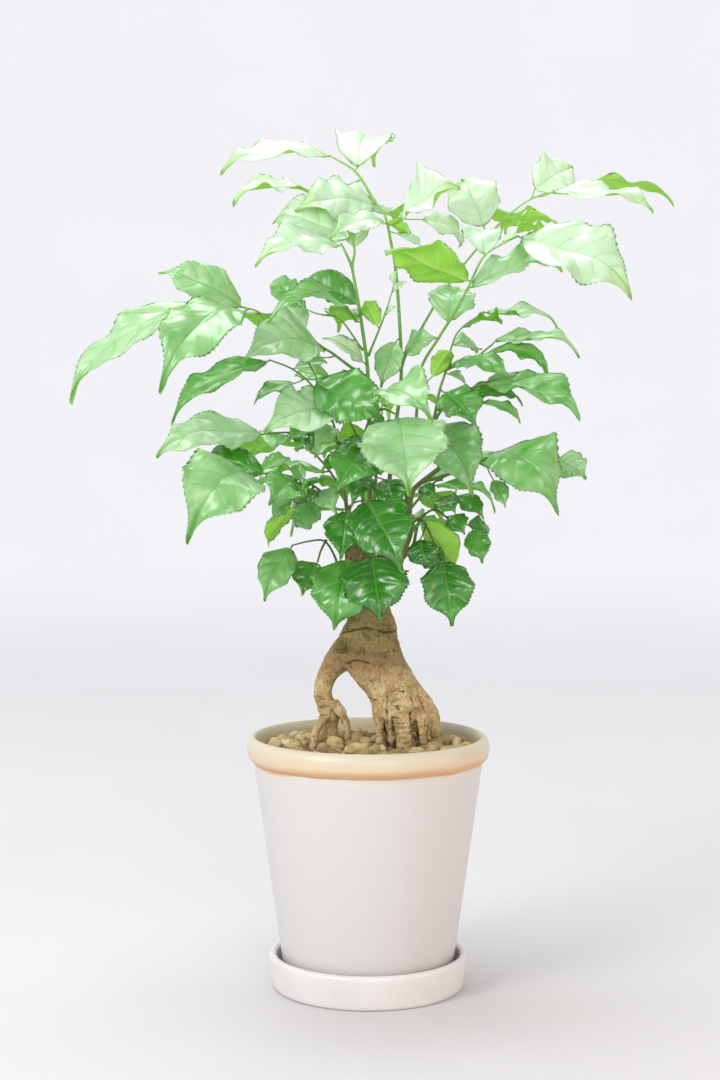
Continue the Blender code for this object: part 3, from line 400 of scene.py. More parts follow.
        "leaves": [
            ((83, 91, 395), (122, 134, 372), 42, -16, 0.12),
            ((73, 78, 392), (122, 64, 380), 38, 4, 0.08),
            ((66, 73, 388), (74, 130, 380), 38, -20, 0.12),
            ((48, 53, 374), (94, 40, 354), 36, 6, 0.12),
            ((42, 48, 368), (54, 98, 344), 34, -20, 0.12),
            ((28, 35, 350), (62, 44, 332), 32, 2, 0.12),
        ],
    },
}

# Extra strands and lumps of the foot, as (x, y, z, radius) in millimetres
FINE_ROOTS = [
    [(-24, 4, 211, 3.0), (-20.5, 1, 208.5, 1.8), (-17.4, 0, 204.5, 1.6), (-17.8, 1, 200, 1.5),
     (-20, 4, 196, 1.5)],
    [(-24, 2, 206, 2.4), (-20, -2, 201, 1.7), (-15.9, -3, 194, 1.6), (-14.5, -3, 186, 1.5)],
    [(8.5, -10, 217, 6.0), (8.2, -12, 206, 5.4), (8.6, -11, 196, 3.6), (8.6, -10, 182, 3.0)],
    [(15.5, -14, 216, 3.0), (14.2, -17, 205, 2.4), (15.0, -17.5, 196, 2.2), (16.5, -17, 184, 2.4)],
    [(33, -8, 223, 3.0), (37.8, -9, 215.7, 2.6), (42.1, -7, 207.2, 2.2), (43.6, -6, 198.6, 2.0),
     (44.4, -6, 184, 2.0)],
    [(31, -13, 217, 3.4), (34.5, -14, 210, 2.6), (36.6, -14, 203, 1.9), (38.5, -14.5, 194, 1.7),
     (40, -14, 183, 1.7)],
    [(24, 22, 212, 5.0), (27, 27, 200, 3.6), (28, 29, 182, 3.0)],
    [(44, 12, 208, 3.4), (49, 14, 196, 2.6), (51, 15, 182, 2.2)],
]
FINE_KNOBS = [
    (18.5, -1, 266, 3.2), (20.5, -17.5, 212, 3.2), (24.5, -19.5, 209.5, 2.8), (18.5, -18.5, 206.5, 2.4),
    (28.5, -17.5, 213, 3.0), (16, -15.5, 214.5, 2.8), (29.5, -17.5, 207, 2.6), (35.5, -13.5, 207.5, 2.7),
    (24, -16, 217, 3.4), (31, -14, 216, 3.2), (-27, 3, 209, 4.2), (-20, -9, 254, 5.0), (9, -16, 246, 5.5),
]

# Creases and pits of the bark on its front, in millimetres: width, depth and points (x, z)
CREASES = [
    (0.9, 1.5, [(-19.5, 264.5), (-15, 266), (-10.9, 267.4), (-1.7, 268.8), (6, 267.4), (11.7, 265.2),
                (20.2, 265)]),
    (0.8, 0.5, [(-17, 271), (-6, 274), (6, 273), (13, 270)]),
    (0.8, 1.8, [(-15.5, 241), (-10.9, 243.9), (-5.3, 244.2), (0.4, 242.4)]),
    (0.7, 0.6, [(0.4, 242.4), (3.2, 242.8), (6.5, 240.5)]),
    (0.8, 1.0, [(0.5, 214.5), (8.2, 217.2), (15.2, 220.7), (20.2, 222.9), (26, 222)]),
    (0.7, 1.4, [(13.8, 218), (13.2, 211), (13.4, 203), (13.4, 195), (14.5, 188)]),
    (0.8, 1.6, [(30.5, 206), (31.5, 199), (31.5, 192)]),
    (0.7, 1.2, [(30, 219), (33, 214), (35, 209)]),
    (0.6, 1.0, [(36.5, 219), (40, 213), (41.5, 205), (42, 196)]),
    (1.1, 1.6, [(20, 210.2), (21.5, 209.4)]),
    (1.0, 1.5, [(23, 206), (24, 205.6)]),
    (0.8, 1.2, [(26.5, 211), (27, 210)]),
    (0.9, 0.9, [(-7.6, 249.4), (-7.0, 249)]),
    (1.2, 0.8, [(17.5, 253.5), (19, 251)]),
    (0.7, 0.6, [(11.5, 246), (15, 252)]),
    (0.8, 0.5, [(-17, 257.6), (-13, 256.6)]),
    (0.6, 0.6, [(1.6, 245.8), (2.0, 245.4)]),
    (0.6, 0.8, [(16.8, 203), (28.5, 203.6)]),
    (0.5, 0.7, [(16.8, 199.2), (22, 198.6), (29, 199.6)]),
    (0.5, 0.7, [(17, 195.4), (23, 196), (28.8, 195.2)]),
    (0.5, 0.6, [(17.4, 191.6), (22, 191), (28.4, 192)]),
    (0.6, 0.7, [(-37, 214.5), (-31, 212.5), (-25, 214)]),
    (0.6, 0.8, [(-36, 207), (-31, 209.5), (-27, 206)]),
]

# The fork's underside, where the bark is rusty, as points (x, z), the size of the bark's faces in
# millimetres, and how often its skin is smoothed
CROTCH = [(-34, 236), (-24, 240), (-14, 242), (-4, 243), (6, 241)]
BARK_VOXEL = 0.8
BARK_SMOOTHINGS = 2

# Side veins: the share of a leaf's length that has them, and how far they sweep forward, also as shares of it
VEINED_SHARE = 0.93
VEIN_SWEEP = (0.10, 0.16)

# Teeth: where the crest lies between two notches, how uneven that is, how far it stands out as a share of
# the half-width, and how far it points forward as a share of the length
TOOTH_CREST = 0.72
TOOTH_UNEVEN = 0.08
TOOTH_FINE = 0.055
TOOTH_FORWARD = 0.010

# The blade's swells: the crumple in millimetres and how tight its folds are; margin waves as a share of the
# half-width, with how many there are and each kind's part; lobes as a share of the half-width and how many
# there are; and the quilting between the veins of young and old leaves in millimetres
CRUMPLE = 1.5
CRUMPLE_FOLDS = (0.9, 1.6, 2.6)
RUFFLE = 0.15
RUFFLE_BEATS = [((1.8, 2.8), 1.0), ((3.6, 5.0), 0.55)]
LOBES = 0.06
LOBE_BEATS = (2.6, 4.2)
QUILT_YOUNG = 0.6
QUILT_OLD = 1.9

# The tip: how much of its width it loses, and how far it curls down as a share of the length
DRIP_DRAW = 0.66
TIP_CURL = 0.03

# The blade's thickness, its groove above and its ribs beneath, in millimetres
BLADE_THICKNESS = 0.45
MIDRIB_GROOVE = 0.5
MIDRIB_DEPTH = 0.9
SIDE_RIB = 0.25

# How thin a stem gets at most towards its end, as a share of its solid's radius
STEM_SLIM = 0.72

# The finishes' places among the materials of a leafy stem and of the gravel
UPPER_SIDE, UNDERSIDE, STALK = 0, 1, 2
PEBBLE, GRIT = 0, 1

# Light: strength of the sky and of the far sweep's glow, and lamps as name, place, target, size in metres,
# watts and colour
SKY = 0.55
SWEEP_GLOW = 0.405
LAMPS = [
    ("key", (-1.2, -1.2, 1.2), (0, 0, 0.3), 0.9, 18, "#FFFDF8"),
    ("front", (0.35, -1.9, 0.75), (0, 0, 0.25), 0.9, 8, "#FFFAF2"),
    ("top", (-0.1, 0.35, 1.9), (0, 0, 0.45), 1.1, 19, "#FFFFFF"),
    ("warm", (1.3, -0.5, 0.3), (0.05, 0, 0.12), 0.5, 3.0, "#FFB878"),
]

# The studio's floor and how it sweeps up all round, as radius and height in metres
FLOOR_SWEEP = [
    (2.4, 0.0), (2.8, 0.03), (3.2, 0.14), (3.6, 0.36), (3.9, 0.7), (4.1, 1.2), (4.2, 2.0), (4.2, 3.2),
]
FLOOR_SPOKES = 96

# Settings of two shader nodes: a range that eases in and out, and a mix of colours
EASED = {"interpolation_type": "SMOOTHSTEP"}
IN_COLOUR = {"data_type": "RGBA"}

# Leaflets too small for the solids: stem, age, and then base, tip, width, face and arch as above
TINY_LEAVES = [
    ("stem_tall_middle", 0.1, ((14, 20, 564), (30, 8, 555), 12, -50, 0.10)),
    ("stem_tall_middle", 0.1, ((21, 26, 556), (38, 42, 545), 12, 50, 0.10)),
    ("stem_right", 0.4, ((69, -34, 392), (83, -22, 397), 11, 45, 0.10)),
    ("stem_right", 0.5, ((92, -42, 384), (108, -50, 377), 11, 50, 0.10)),
    ("stem_right", 0.8, ((37, -20, 372), (50, -34, 362), 12, 60, 0.20)),
    ("stem_right", 0.7, ((54, -27, 390), (64, -42, 380), 12, 60, 0.20)),
    ("stem_right", 0.3, ((57, -17, 455), (70, -6, 444), 12, 40, 0.20)),
    ("stem_right_low", 0.6, ((48, -14, 373), (45, -24, 360), 10, -60, 0.10)),
    ("stem_left", 0.3, ((-54, -1, 457), (-30, 12, 462), 12, 50, 0.10)),
    ("stem_left_low", 0.6, ((-44, -28, 392), (-55, -38, 387), 11, 55, 0.10)),
    ("stem_tall_left", 0.0, ((18, -22, 516), (21, -27, 529), 8, 30, 0.10)),
    ("stem_tall_left", 0.0, ((19, -23, 514), (28, -26, 521), 7, 30, 0.10)),
    ("stem_tall_left", 0.1, ((12, -18, 496), (20, -22, 503), 6, 40, 0.10)),
    ("stem_left", 0.9, ((-30, 0, 409), (-46, -14, 398), 13, 55, 0.20)),
    ("stem_left", 0.8, ((-46, -4, 410), (-52, -22, 397), 12, 60, 0.20)),
    ("stem_left", 0.9, ((-26, 2, 402), (-11, -14, 395), 12, 50, 0.20)),
    ("stem_left", 0.9, ((-20, -2, 388), (-35, -14, 383), 13, 55, 0.20)),
    ("stem_left", 0.9, ((-19, -2, 378), (-5, -14, 373), 12, 60, 0.20)),
    ("stem_left", 0.6, ((-58, -6, 411), (-67, -20, 402), 11, 50, 0.20)),
    ("stem_left", 0.7, ((-34, 5, 434), (-45, -8, 427), 12, 45, 0.20)),
    ("stem_tall_left", 0.8, ((-1, -6, 436), (-15, -20, 429), 12, 55, 0.20)),
    ("stem_tall_left", 0.8, ((0, -5, 420), (12, -20, 413), 12, 55, 0.20)),
    ("stem_tall_left", 0.9, ((1, -4, 404), (-11, -18, 397), 12, 60, 0.20)),
    ("stem_left_low", 0.9, ((-40, -27, 371), (-44, -43, 359), 12, 60, 0.20)),
    ("stem_left_low", 0.8, ((-50, -32, 377), (-45, -47, 365), 12, 60, 0.20)),
    ("stem_front", 0.9, ((-4, -26, 380), (-17, -40, 373), 12, 60, 0.20)),
    ("stem_front", 0.9, ((-4, -34, 404), (-16, -46, 397), 11, 60, 0.20)),
]

# How old each stem's leaves are, from 0, just opened, to 1, the oldest and glossiest. The ages also paint
# light: the top stems are set young and so pale, as painted light from above, and the low stems old and so
# dark, partly as painted shade
STEM_AGES_AND_LIGHT = {
    "stem_tall_left": 0.22,
    "stem_tall_middle": 0.06,
    "stem_tall_right": 0.10,
    "stem_right": 0.50,
    "stem_right_low": 0.85,
    "stem_right_hanging": 0.95,
    "stem_front": 0.62,
    "stem_front_low": 1.0,
    "stem_left": 0.50,
    "stem_left_low": 0.62,
    "stem_left_hanging": 0.88,
    "stem_back_left": 0.55,
    "stem_back_middle": 0.35,
    "stem_back_right": 0.55,
}

# Leaves given another age than their stem, partly for their own age and partly as painted light and shade that
# makes them paler or darker: the row's number, from 0, and the age
LEAF_AGES_AND_LIGHT = {
    "stem_tall_left": {
        0: 0.08, 1: 0.04, 2: 0.0, 3: 0.48, 4: 0.42, 5: 0.66, 6: 0.40, 7: 0.46, 8: 0.60, 9: 0.55, 11: 0.70,
        14: 0.76,
    },
    "stem_tall_middle": {7: 0.40, 8: 0.45},
    "stem_tall_right": {3: 0.35, 4: 0.30},
    "stem_right": {
        0: 0.34, 1: 0.40, 2: 0.66, 3: 0.70, 5: 0.60, 6: 0.75, 7: 0.70, 10: 0.66, 11: 0.68, 12: 0.55,
    },
    "stem_right_hanging": {0: 0.05, 3: 1.0},
    "stem_right_low": {0: 0.9, 3: 0.9},
    "stem_front": {0: 0.42, 1: 0.28, 2: 0.50, 3: 0.84, 4: 0.95, 5: 0.95},
    "stem_front_low": {3: 0.84},
    "stem_left": {0: 0.66, 4: 0.34},
    "stem_left_low": {0: 0.85, 1: 0.58, 3: 0.60, 5: 0.2},
    "stem_left_hanging": {0: 0.66},
}


def linear(colour):
    """An sRGB hex colour as linear RGBA."""
    shares = [int(colour[i : i + 2], 16) / 255 for i in (1, 3, 5)]
    return (*[c / 12.92 if c <= 0.04045 else ((c + 0.055) / 1.055) ** 2.4 for c in shares], 1.0)


def add(tree, kind, inputs=None, **settings):
    """Adds a node of this kind. For each socket, inputs gives its value or the output that feeds it."""
    made = tree.nodes.new("ShaderNode" + kind)
    for name, value in settings.items():
        setattr(made, name, value)
    for socket, value in (inputs or {}).items():
        if isinstance(value, bpy.types.NodeSocket):
            tree.links.new(value, made.inputs[socket])
        else:
            made.inputs[socket].default_value = value
    return made


def new_material(name):
    """A material with no nodes yet, and its node tree."""
    made = bpy.data.materials.new(name)
    made.use_nodes = True
    made.node_tree.nodes.clear()
    return made, made.node_tree


def finished(made, surface):
    """The material with this shader as its surface."""
    add(made.node_tree, "OutputMaterial", {"Surface": surface.outputs[0]})
    return made


def colour_steps(ramp, steps):
    """Sets a colour ramp's stops from (place, colour)."""
    stops = ramp.color_ramp.elements
    while len(stops) < len(steps):
        stops.new(0.5)
    for stop, (place, colour) in zip(stops, steps):
        stop.position = place
        stop.color = linear(colour)
    return ramp


def new_piece(name, mesh, materials, nodes):
    """The mesh as a shown piece of the plant that stands for these solids."""
    made = bpy.data.objects.new(name, mesh)
    bpy.context.scene.collection.objects.link(made)
    for material in materials:
        mesh.materials.append(material)
    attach(made, "root")
    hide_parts(*nodes)
    return made


def ring(radius, spokes):
    """Places (x, y) evenly round the pot's axis."""
    turns = [math.tau * k / spokes for k in range(spokes)]
    return [(radius * math.cos(turn), radius * math.sin(turn)) for turn in turns]


def bands(rings, spokes):
    """Faces between this many rings of points that follow one another."""
    faces = []
    for i in range(rings - 1):
        for k in range(spokes):
            a, b = i * spokes + k, i * spokes + (k + 1) % spokes
            faces.append((a, b, b + spokes, a + spokes))
    return faces


# The crown's layout, as in the solids


def on_sight_line(point):
    """The place in metres of a point (across, depth, up), slid along the line of sight to its depth."""
    across, depth, up = point
    spread = (EYE_DISTANCE + depth) / EYE_DISTANCE
    x = EYE_ACROSS + (across - EYE_ACROSS) * spread
    z = EYE_UP + (up - EYE_UP) * spread
    return Vector((x, depth, z)) * MM


def graded(radii, count):
    """Radii from the first to the last in even steps."""
    return [radii[0] + (radii[1] - radii[0]) * i / max(1, count - 1) for i in range(count)]


def edge_points(width):
    """How many points a solid leaf of this width has along each edge."""
    return 9 if width >= 44 else 7 if width >= 34 else 5 if width >= 14 else 3


def rib_points(width):
    """How many points a solid leaf of this width has along its middle, without its ends."""
    return 2 if width >= 34 else 1


def outline(t):
    """A solid leaf's half-width at the share t of its length, where 1 is the widest: oval with a drip tip."""
    body = math.sin(math.pi * t**0.85) ** 0.72
    drawn_in = min(1, max(0, (t - DRAW_START) / DRAW_RUN))
    return body * (1 - DRAW_DEPTH * drawn_in * drawn_in * (3 - 2 * drawn_in))


def nearest_on(stalks, place):
    """The point of the stalks' centre lines that is nearest to the place."""
    best = None
    for points, _ in stalks:
        for a, b in zip(points, points[1:]):
            run = b - a
            share = min(1, max(0, (place - a).dot(run) / run.length_squared))
            near = a + run * share
            if best is None or (near - place).length < (best - place).length:
                best = near
    return best


class Leaf:
    """One leaf, from its row, a number that its waves are drawn from and the stalks that it grows on."""

    def __init__(self, row, number, stalks):
        base, tip, self.width, face, self.arch = row
        self.number, self.age = number, 0.0
        self.base, self.tip = on_sight_line(base), on_sight_line(tip)
        ahead = (self.tip - self.base).normalized()
        reach = (self.base - nearest_on(stalks, self.base)).length
        self.root = nearest_on(stalks, self.base - ahead * reach)
        run = self.base - self.root
        if run.length < SHORTEST_PETIOLE * MM or run.normalized().dot(ahead) < SHARPEST_BEND:
            self.base = self.root + (self.tip - self.root).normalized() * SHORTEST_PETIOLE * MM
        self.along = self.tip - self.base
        self.length = self.along.length
        self.along.normalize()
        turn = math.radians(face)
        lean = Vector((0, -math.sin(turn), math.cos(turn)))
        self.up = (lean - self.along * lean.dot(self.along)).normalized()
        self.side = self.along.cross(self.up)
        self.phase = random.Random(number).uniform(0, 1)

    def point(self, t, across):
        """A point of the blade: t from base to tip, across from -1 to 1 between the edges."""
        half = self.width / 2 * MM * outline(t)
        wave = BLADE_WAVE * math.sin(math.tau * (BLADE_WAVES * t + self.phase) + across) * across * across
        drip = DRIP * (t - (max(0, t - DRIP_START) / (1 - DRIP_START)) ** 2)
        rise = self.length * (self.arch * 4 * t * (1 - t) + drip) + half * (BLADE_FOLD * abs(across) + wave)
        return self.base + self.along * (t * self.length) + self.side * (half * across) + self.up * rise

    def solid_surface(self):
        """The points and triangles of the leaf's plain solid, which its place was found with."""
        half = self.side * (PETIOLE_WIDTH / 2 * MM)
        run = (self.base - self.root).normalized()
        root_half = (self.side - run * self.side.dot(run)).normalized() * half.length
        points = [self.root - root_half, self.root + root_half, self.base - half, self.base + half]
        faces = [(0, 1, 3), (0, 3, 2)]
        ribs = rib_points(self.width)
        middle = [((k + 1) / (ribs + 1), len(points) + k) for k in range(ribs)] + [(1.0, len(points) + ribs)]
        points += [self.point(t, 0) for t, _ in middle]
        faces.append((2, 3, middle[0][1]))
        for side in (-1, 1):
            edge = [(0.0, 2 if side < 0 else 3)]
            for k in range(edge_points(self.width)):
                crest = k % 2 == 0
                t = (k + 0.75 + 0.22 * crest) / (edge_points(self.width) + 0.7)
                edge.append((t, len(points)))
                points.append(self.point(t, side * (1 + TOOTH_DEPTH * (0.5 if crest else -1))))
            edge.append(middle[-1])
            faces += strip(middle, edge, side)
        return points, faces


def strip(middle, edge, side):
    """Triangles between two rows of (t, index) that end in the same point."""
    faces, i, j = [], 0, 0
    while i < len(middle) - 1 or j < len(edge) - 1:
        step_out = i == len(middle) - 1 or (j < len(edge) - 1 and edge[j + 1][0] <= middle[i + 1][0])
        third = edge[j + 1][1] if step_out else middle[i + 1][1]
        face = (middle[i][1], edge[j][1], third)
        i, j = (i, j + 1) if step_out else (i + 1, j)
        if len(set(face)) == 3:
            faces.append(face if side > 0 else face[::-1])
    return faces


def stalks_of(stem):
    """The stem's stalks as points in metres with their radii. The first starts straight from the seat."""
    inside, seat = (on_sight_line(p) for p in stem["seat"])
    straight = seat + (seat - inside).normalized() * 4 * MM
    made = []
    for start, end, places in stem["stalks"]:
        points = [on_sight_line(p) for p in places]
        if not made:
            points = [seat, straight, *points]
        made.append((points, graded((start, end), len(points))))
    return made


def beads(points, radii):
    """A tube as round beads (place, radius) about every 3 mm, to measure distances from."""
    made = []
    for a, b, r0, r1 in zip(points, points[1:], radii, radii[1:]):
        steps = max(1, int((b - a).length / (3 * MM)))
        made += [(a.lerp(b, i / steps), (r0 + (r1 - r0) * i / steps) * MM) for i in range(steps + 1)]
    return made


class Obstacle:
    """A blade or a set of tubes that leaves of other stems stay clear of."""

    def __init__(self, stem, points=None, faces=None, tubes=None):
        self.stem = stem
        self.points = points or []
        self.tree = BVHTree.FromPolygons(points, faces) if faces else None
        self.beads = tubes or []
        places = self.points + [place for place, _ in self.beads]
        self.low = Vector([min(p[i] for p in places) for i in range(3)])
        self.high = Vector([max(p[i] for p in places) for i in range(3)])

    def near(self, other):
        """Whether the boxes of the two come within 3 mm."""
        reach = 3 * MM
        return all(
            self.low[i] < other.high[i] + reach and other.low[i] < self.high[i] + reach for i in range(3)
        )

    def touches(self, other):
        """Whether the two come closer than their clearance."""
        between_blades = (SOLID_BLADE + CLEARANCE) * MM
        between_blade_and_tube = (SOLID_BLADE / 2 + CLEARANCE) * MM
        if self.tree and other.tree:
            if self.tree.overlap(other.tree):
                return True
            if any(other.tree.find_nearest(p, between_blades)[0] for p in self.points):
                return True
            if any(self.tree.find_nearest(p, between_blades)[0] for p in other.points):
                return True
        for blade, line in ((self, other), (other, self)):
            if blade.tree:
                if any(blade.tree.find_nearest(p, r + between_blade_and_tube)[0] for p, r in line.beads):
                    return True
        return any(
            (p - q).length < r + s + CLEARANCE * MM for p, r in self.beads for q, s in other.beads
        )


def swings():
    """How far a leaf's tip and base move in depth to find a clear place, the smallest moves first."""
    moves = [(0, 0)]
    for step in range(1, SWING_STEPS + 1):
        for sign in (-1, 1):
            moves.append((sign * step * SWING_STEP, 0))
            moves.append((sign * step * SWING_STEP, sign * step * SWING_STEP / 2))
    return moves


def settled(stem_name, row, number, stalks, obstacles):
    """The leaf swung in depth until it and its stalk touch no other stem and, if it can, no leaf at all."""
    base, tip, width, face, arch = row
    fallback = None
    for tip_move, base_move in swings():
        swung_base = (base[0], base[1] + base_move, base[2])
        swung_tip = (tip[0], tip[1] + tip_move, tip[2])
        leaf = Leaf((swung_base, swung_tip, width, face, arch), number, stalks)
        points, faces = leaf.solid_surface()
        blade = Obstacle(stem_name, points, faces)
        stalk = Obstacle(stem_name, tubes=beads([leaf.root, leaf.base], [PETIOLE_WIDTH / 2] * 2))
        others = [p for p in obstacles if (p.near(blade) or p.near(stalk))]
        strangers = [p for p in others if p.stem != stem_name]
        if any(blade.touches(p) or stalk.touches(p) for p in strangers):
            continue
        siblings = [p for p in others if p.stem == stem_name and p.tree]
        if not any(blade.touches(p) for p in siblings):
            return leaf, [blade, stalk]
        fallback = fallback or (leaf, [blade, stalk])
    return fallback or (None, [])


def crown():
    """Every stem's stalks and its settled leaves, by the stem's name. The tiny leaflets come last."""
    stalks = {name: stalks_of(stem) for name, stem in STEMS.items()}
    obstacles = [Obstacle(name, tubes=beads(*line)) for name, lines in stalks.items() for line in lines]
    for points in LIMBS + [TRUNK]:
        line = beads([Vector(p[:3]) * MM for p in points], [p[3] for p in points])
        obstacles.append(Obstacle("trunk", tubes=line))
    leaves = {name: [] for name in STEMS}
    rows = []
    for name, stem in STEMS.items():
        for k, row in enumerate(stem["leaves"]):
            rows.append((name, LEAF_AGES_AND_LIGHT.get(name, {}).get(k, STEM_AGES_AND_LIGHT[name]), row))
    for number, (name, age, row) in enumerate(rows + TINY_LEAVES, 1):
        leaf, made = settled(name, row, number, stalks[name], obstacles)
        if leaf is None:
            continue
        leaf.age = age
        leaves[name].append(leaf)
        obstacles += made
    return stalks, leaves


# Leaves, stalks and stems as the eye sees them


def smooth_line(points, radii, step):
    """A smooth curve through the points with a point about every step, in metres, and the radii along it."""
    places = [points[0] * 2 - points[1], *points, points[-1] * 2 - points[-2]]
    line, sizes = [], []
    for i in range(len(points) - 1):
        a, b, c, d = places[i : i + 4]
        count = max(1, round((c - b).length / step))
        for k in range(count):
            t = k / count
            spot = b * 2 + (c - a) * t + (a * 2 - b * 5 + c * 4 - d) * t**2 + (b * 3 - a - c * 3 + d) * t**3
            line.append(spot / 2)
            sizes.append(radii[i] + (radii[i + 1] - radii[i]) * t)
    return line + [points[-1]], sizes + [radii[-1]]


def swept(line, radii, sides):
    """Points and faces of a round tube along the line, with blunt ends. The radii are in millimetres."""
    count = len(line)
    points = []
    ahead = (line[1] - line[0]).normalized()
    out = ahead.orthogonal().normalized()
    for i, (place, radius) in enumerate(zip(line, radii)):
        ahead = (line[min(i + 1, count - 1)] - line[max(i - 1, 0)]).normalized()
        out = (out - ahead * out.dot(ahead)).normalized()
        over = ahead.cross(out)
        for k in range(sides):
            turn = math.tau * k / sides
            points.append(place + (out * math.cos(turn) + over * math.sin(turn)) * (radius * MM))
    faces = bands(count, sides)
    first, last = len(points), len(points) + 1
    points.append(line[0] + (line[0] - line[1]).normalized() * (radii[0] * 0.4 * MM))
    points.append(line[-1] + (line[-1] - line[-2]).normalized() * (radii[-1] * 0.4 * MM))
    end = (count - 1) * sides
    for k in range(sides):
        faces.append(((k + 1) % sides, k, first))
        faces.append((end + k, end + (k + 1) % sides, last))
    return points, faces


class Shape:
    """Points and faces that grow piece by piece into one mesh, with what the materials read at each point."""

    def __init__(self):
        self.points, self.faces, self.finishes = [], [], []
        self.veins, self.growth = [], []

    def take(self, points, faces, finish, veins=None, growth=None):
        """Adds these points and faces. finish is one number, or one for each face."""
        start = len(self.points)
        self.points += [tuple(p) for p in points]
        self.faces += [tuple(start + k for k in face) for face in faces]
        self.finishes += [finish] * len(faces) if isinstance(finish, int) else finish
        self.veins += veins or [(0.0, 0.0, 0.0)] * len(points)
        self.growth += growth or [(0.0, 0.0, 0.0)] * len(points)

    def mesh(self, name):
        """The mesh of all that was taken."""
        made = bpy.data.meshes.new(name)
        made.from_pydata(self.points, [], self.faces)
        made.polygons.foreach_set("material_index", self.finishes)
        made.shade_smooth()
        for kind, values in (("veins", self.veins), ("growth", self.growth)):
            made.attributes.new(kind, "FLOAT_VECTOR", "POINT").data.foreach_set("vector", np.ravel(values))
        return made


def vein_pairs(width):
    """How many pairs of side veins a leaf of this width has."""
    return 6 if width >= 44 else 5 if width >= 18 else 4


def half_columns(width):
    """Where a leaf's columns run, as shares of its half-width; they crowd at the midrib and at the margin."""
    if width >= 30:
        return [0.04, 0.11, 0.24, 0.42, 0.60, 0.77, 0.91, 1.0]
    if width >= 18:
        return [0.06, 0.18, 0.38, 0.62, 0.85, 1.0]
    return [0.10, 0.32, 0.68, 1.0]


def tooth_rows(pairs, teeth, draw):
    """The blade's rows as shares of its length, and how far each stands out at the margin."""
    rows, stand = [0.006], [0.0]
    steps = pairs * teeth
    for k in range(steps):
        uneven = draw.uniform(-TOOTH_UNEVEN, TOOTH_UNEVEN)
        rows += [(k + 0.12) / steps * VEINED_SHARE, (k + 0.12 + TOOTH_CREST + uneven) / steps * VEINED_SHARE]
        stand += [-0.5, 0.5]
    rows += [VEINED_SHARE + (1 - VEINED_SHARE) * t for t in (0.15, 0.5, 0.8)]
    stand += [-0.3, 0.0, 0.0]
    return np.array(rows)[:, None], np.array(stand)[:, None]


def lobed_half_width(leaf, t, s, draw):
    """The half-width in metres at each place of the blade, with slow lobes that differ on its two sides."""
    drawn_in = np.clip((t - DRAW_START) / DRAW_RUN, 0, 1)
    body = np.sin(math.pi * t**0.85) ** 0.72 * (1 - DRIP_DRAW * drawn_in * drawn_in * (3 - 2 * drawn_in))
    half = leaf.width / 2 * MM * body
    for side in (-1, 1):
        beats, lift = draw.uniform(*LOBE_BEATS), draw.uniform(0, 1)
        half = half * (1 + LOBES * np.sin(math.tau * (beats * t + lift)) * (side * s > 0))
    return half


def blade_rise(leaf, t, s, half, draw):
    """How far the blade rises in metres: as in the solid, then crumpled and waved, with a curled tip."""
    wave = BLADE_WAVE * np.sin(math.tau * (BLADE_WAVES * t + leaf.phase) + s) * s * s
    drip = DRIP * (t - (np.maximum(0, t - DRIP_START) / (1 - DRIP_START)) ** 2)
    rise = leaf.length * (leaf.arch * 4 * t * (1 - t) + drip) + half * (BLADE_FOLD * abs(s) + wave)
    for tightness in CRUMPLE_FOLDS:
        turn, lift = draw.uniform(0, math.tau), draw.uniform(0, math.tau)
        swell = np.sin(tightness * (6 * t * math.cos(turn) + 3 * s * math.sin(turn)) + lift)
        rise = rise + CRUMPLE * MM * (leaf.width / 40) / tightness * swell * np.minimum(1, 6 * t)
    for side in (-1, 1):
        for beats, share in [(draw.uniform(*span), part) for span, part in RUFFLE_BEATS]:
            ruffle = np.sin(math.tau * (beats * t + draw.uniform(0, 1)))
            rise = rise + share * RUFFLE * half * ruffle * np.clip(side * s, 0, 1) ** 2 * np.minimum(1, 4 * t)
    return rise - TIP_CURL * leaf.length * np.maximum(0, (t - 0.75) / 0.25) ** 2


def pillows(c, s, veined, pairs, draw):
    """How much the skin swells between the veins, each field to its own height, flat at midrib and margin."""
    heights = np.array([[draw.uniform(0.35, 1.0) for _ in range(pairs + 2)] for _ in (0, 1)])
    field = np.clip(veined.astype(int), 0, pairs + 1)
    height = np.where(s < 0, heights[0][field], heights[1][field])
    reach_out = np.clip(np.abs(s) * 3.2, 0, 1) * np.clip((1 - np.abs(s)) * 2.2, 0, 1)
    return np.abs(np.sin(math.pi * veined)) ** 0.8 * height * reach_out * np.clip((1 - c) * 6, 0, 1)


def blade_faces(rows, columns):
    """Faces and finishes of a closed blade, whose points are base, tip, upper side and underside."""
    low = 2 + rows * columns
    last = rows - 1

    def upper(i, j):
        """The number of a point of the upper side."""
        return 2 + i * columns + j

    def lower(i, j):
        """The number of a point of the underside, which shares the upper side's margin."""
        return upper(i, j) if j in (0, columns - 1) else low + i * (columns - 2) + j - 1

    faces, finish = [], []
    for j in range(columns - 1):
        faces += [(0, upper(0, j + 1), upper(0, j)), (0, lower(0, j), lower(0, j + 1))]
        faces += [(upper(last, j), upper(last, j + 1), 1), (lower(last, j + 1), lower(last, j), 1)]
        finish += [UPPER_SIDE, UNDERSIDE] * 2
        for i in range(last):
            faces.append((upper(i, j), upper(i, j + 1), upper(i + 1, j + 1), upper(i + 1, j)))
            faces.append((lower(i + 1, j), lower(i + 1, j + 1), lower(i, j + 1), lower(i, j)))
            finish += [UPPER_SIDE, UNDERSIDE]
    return faces, finish


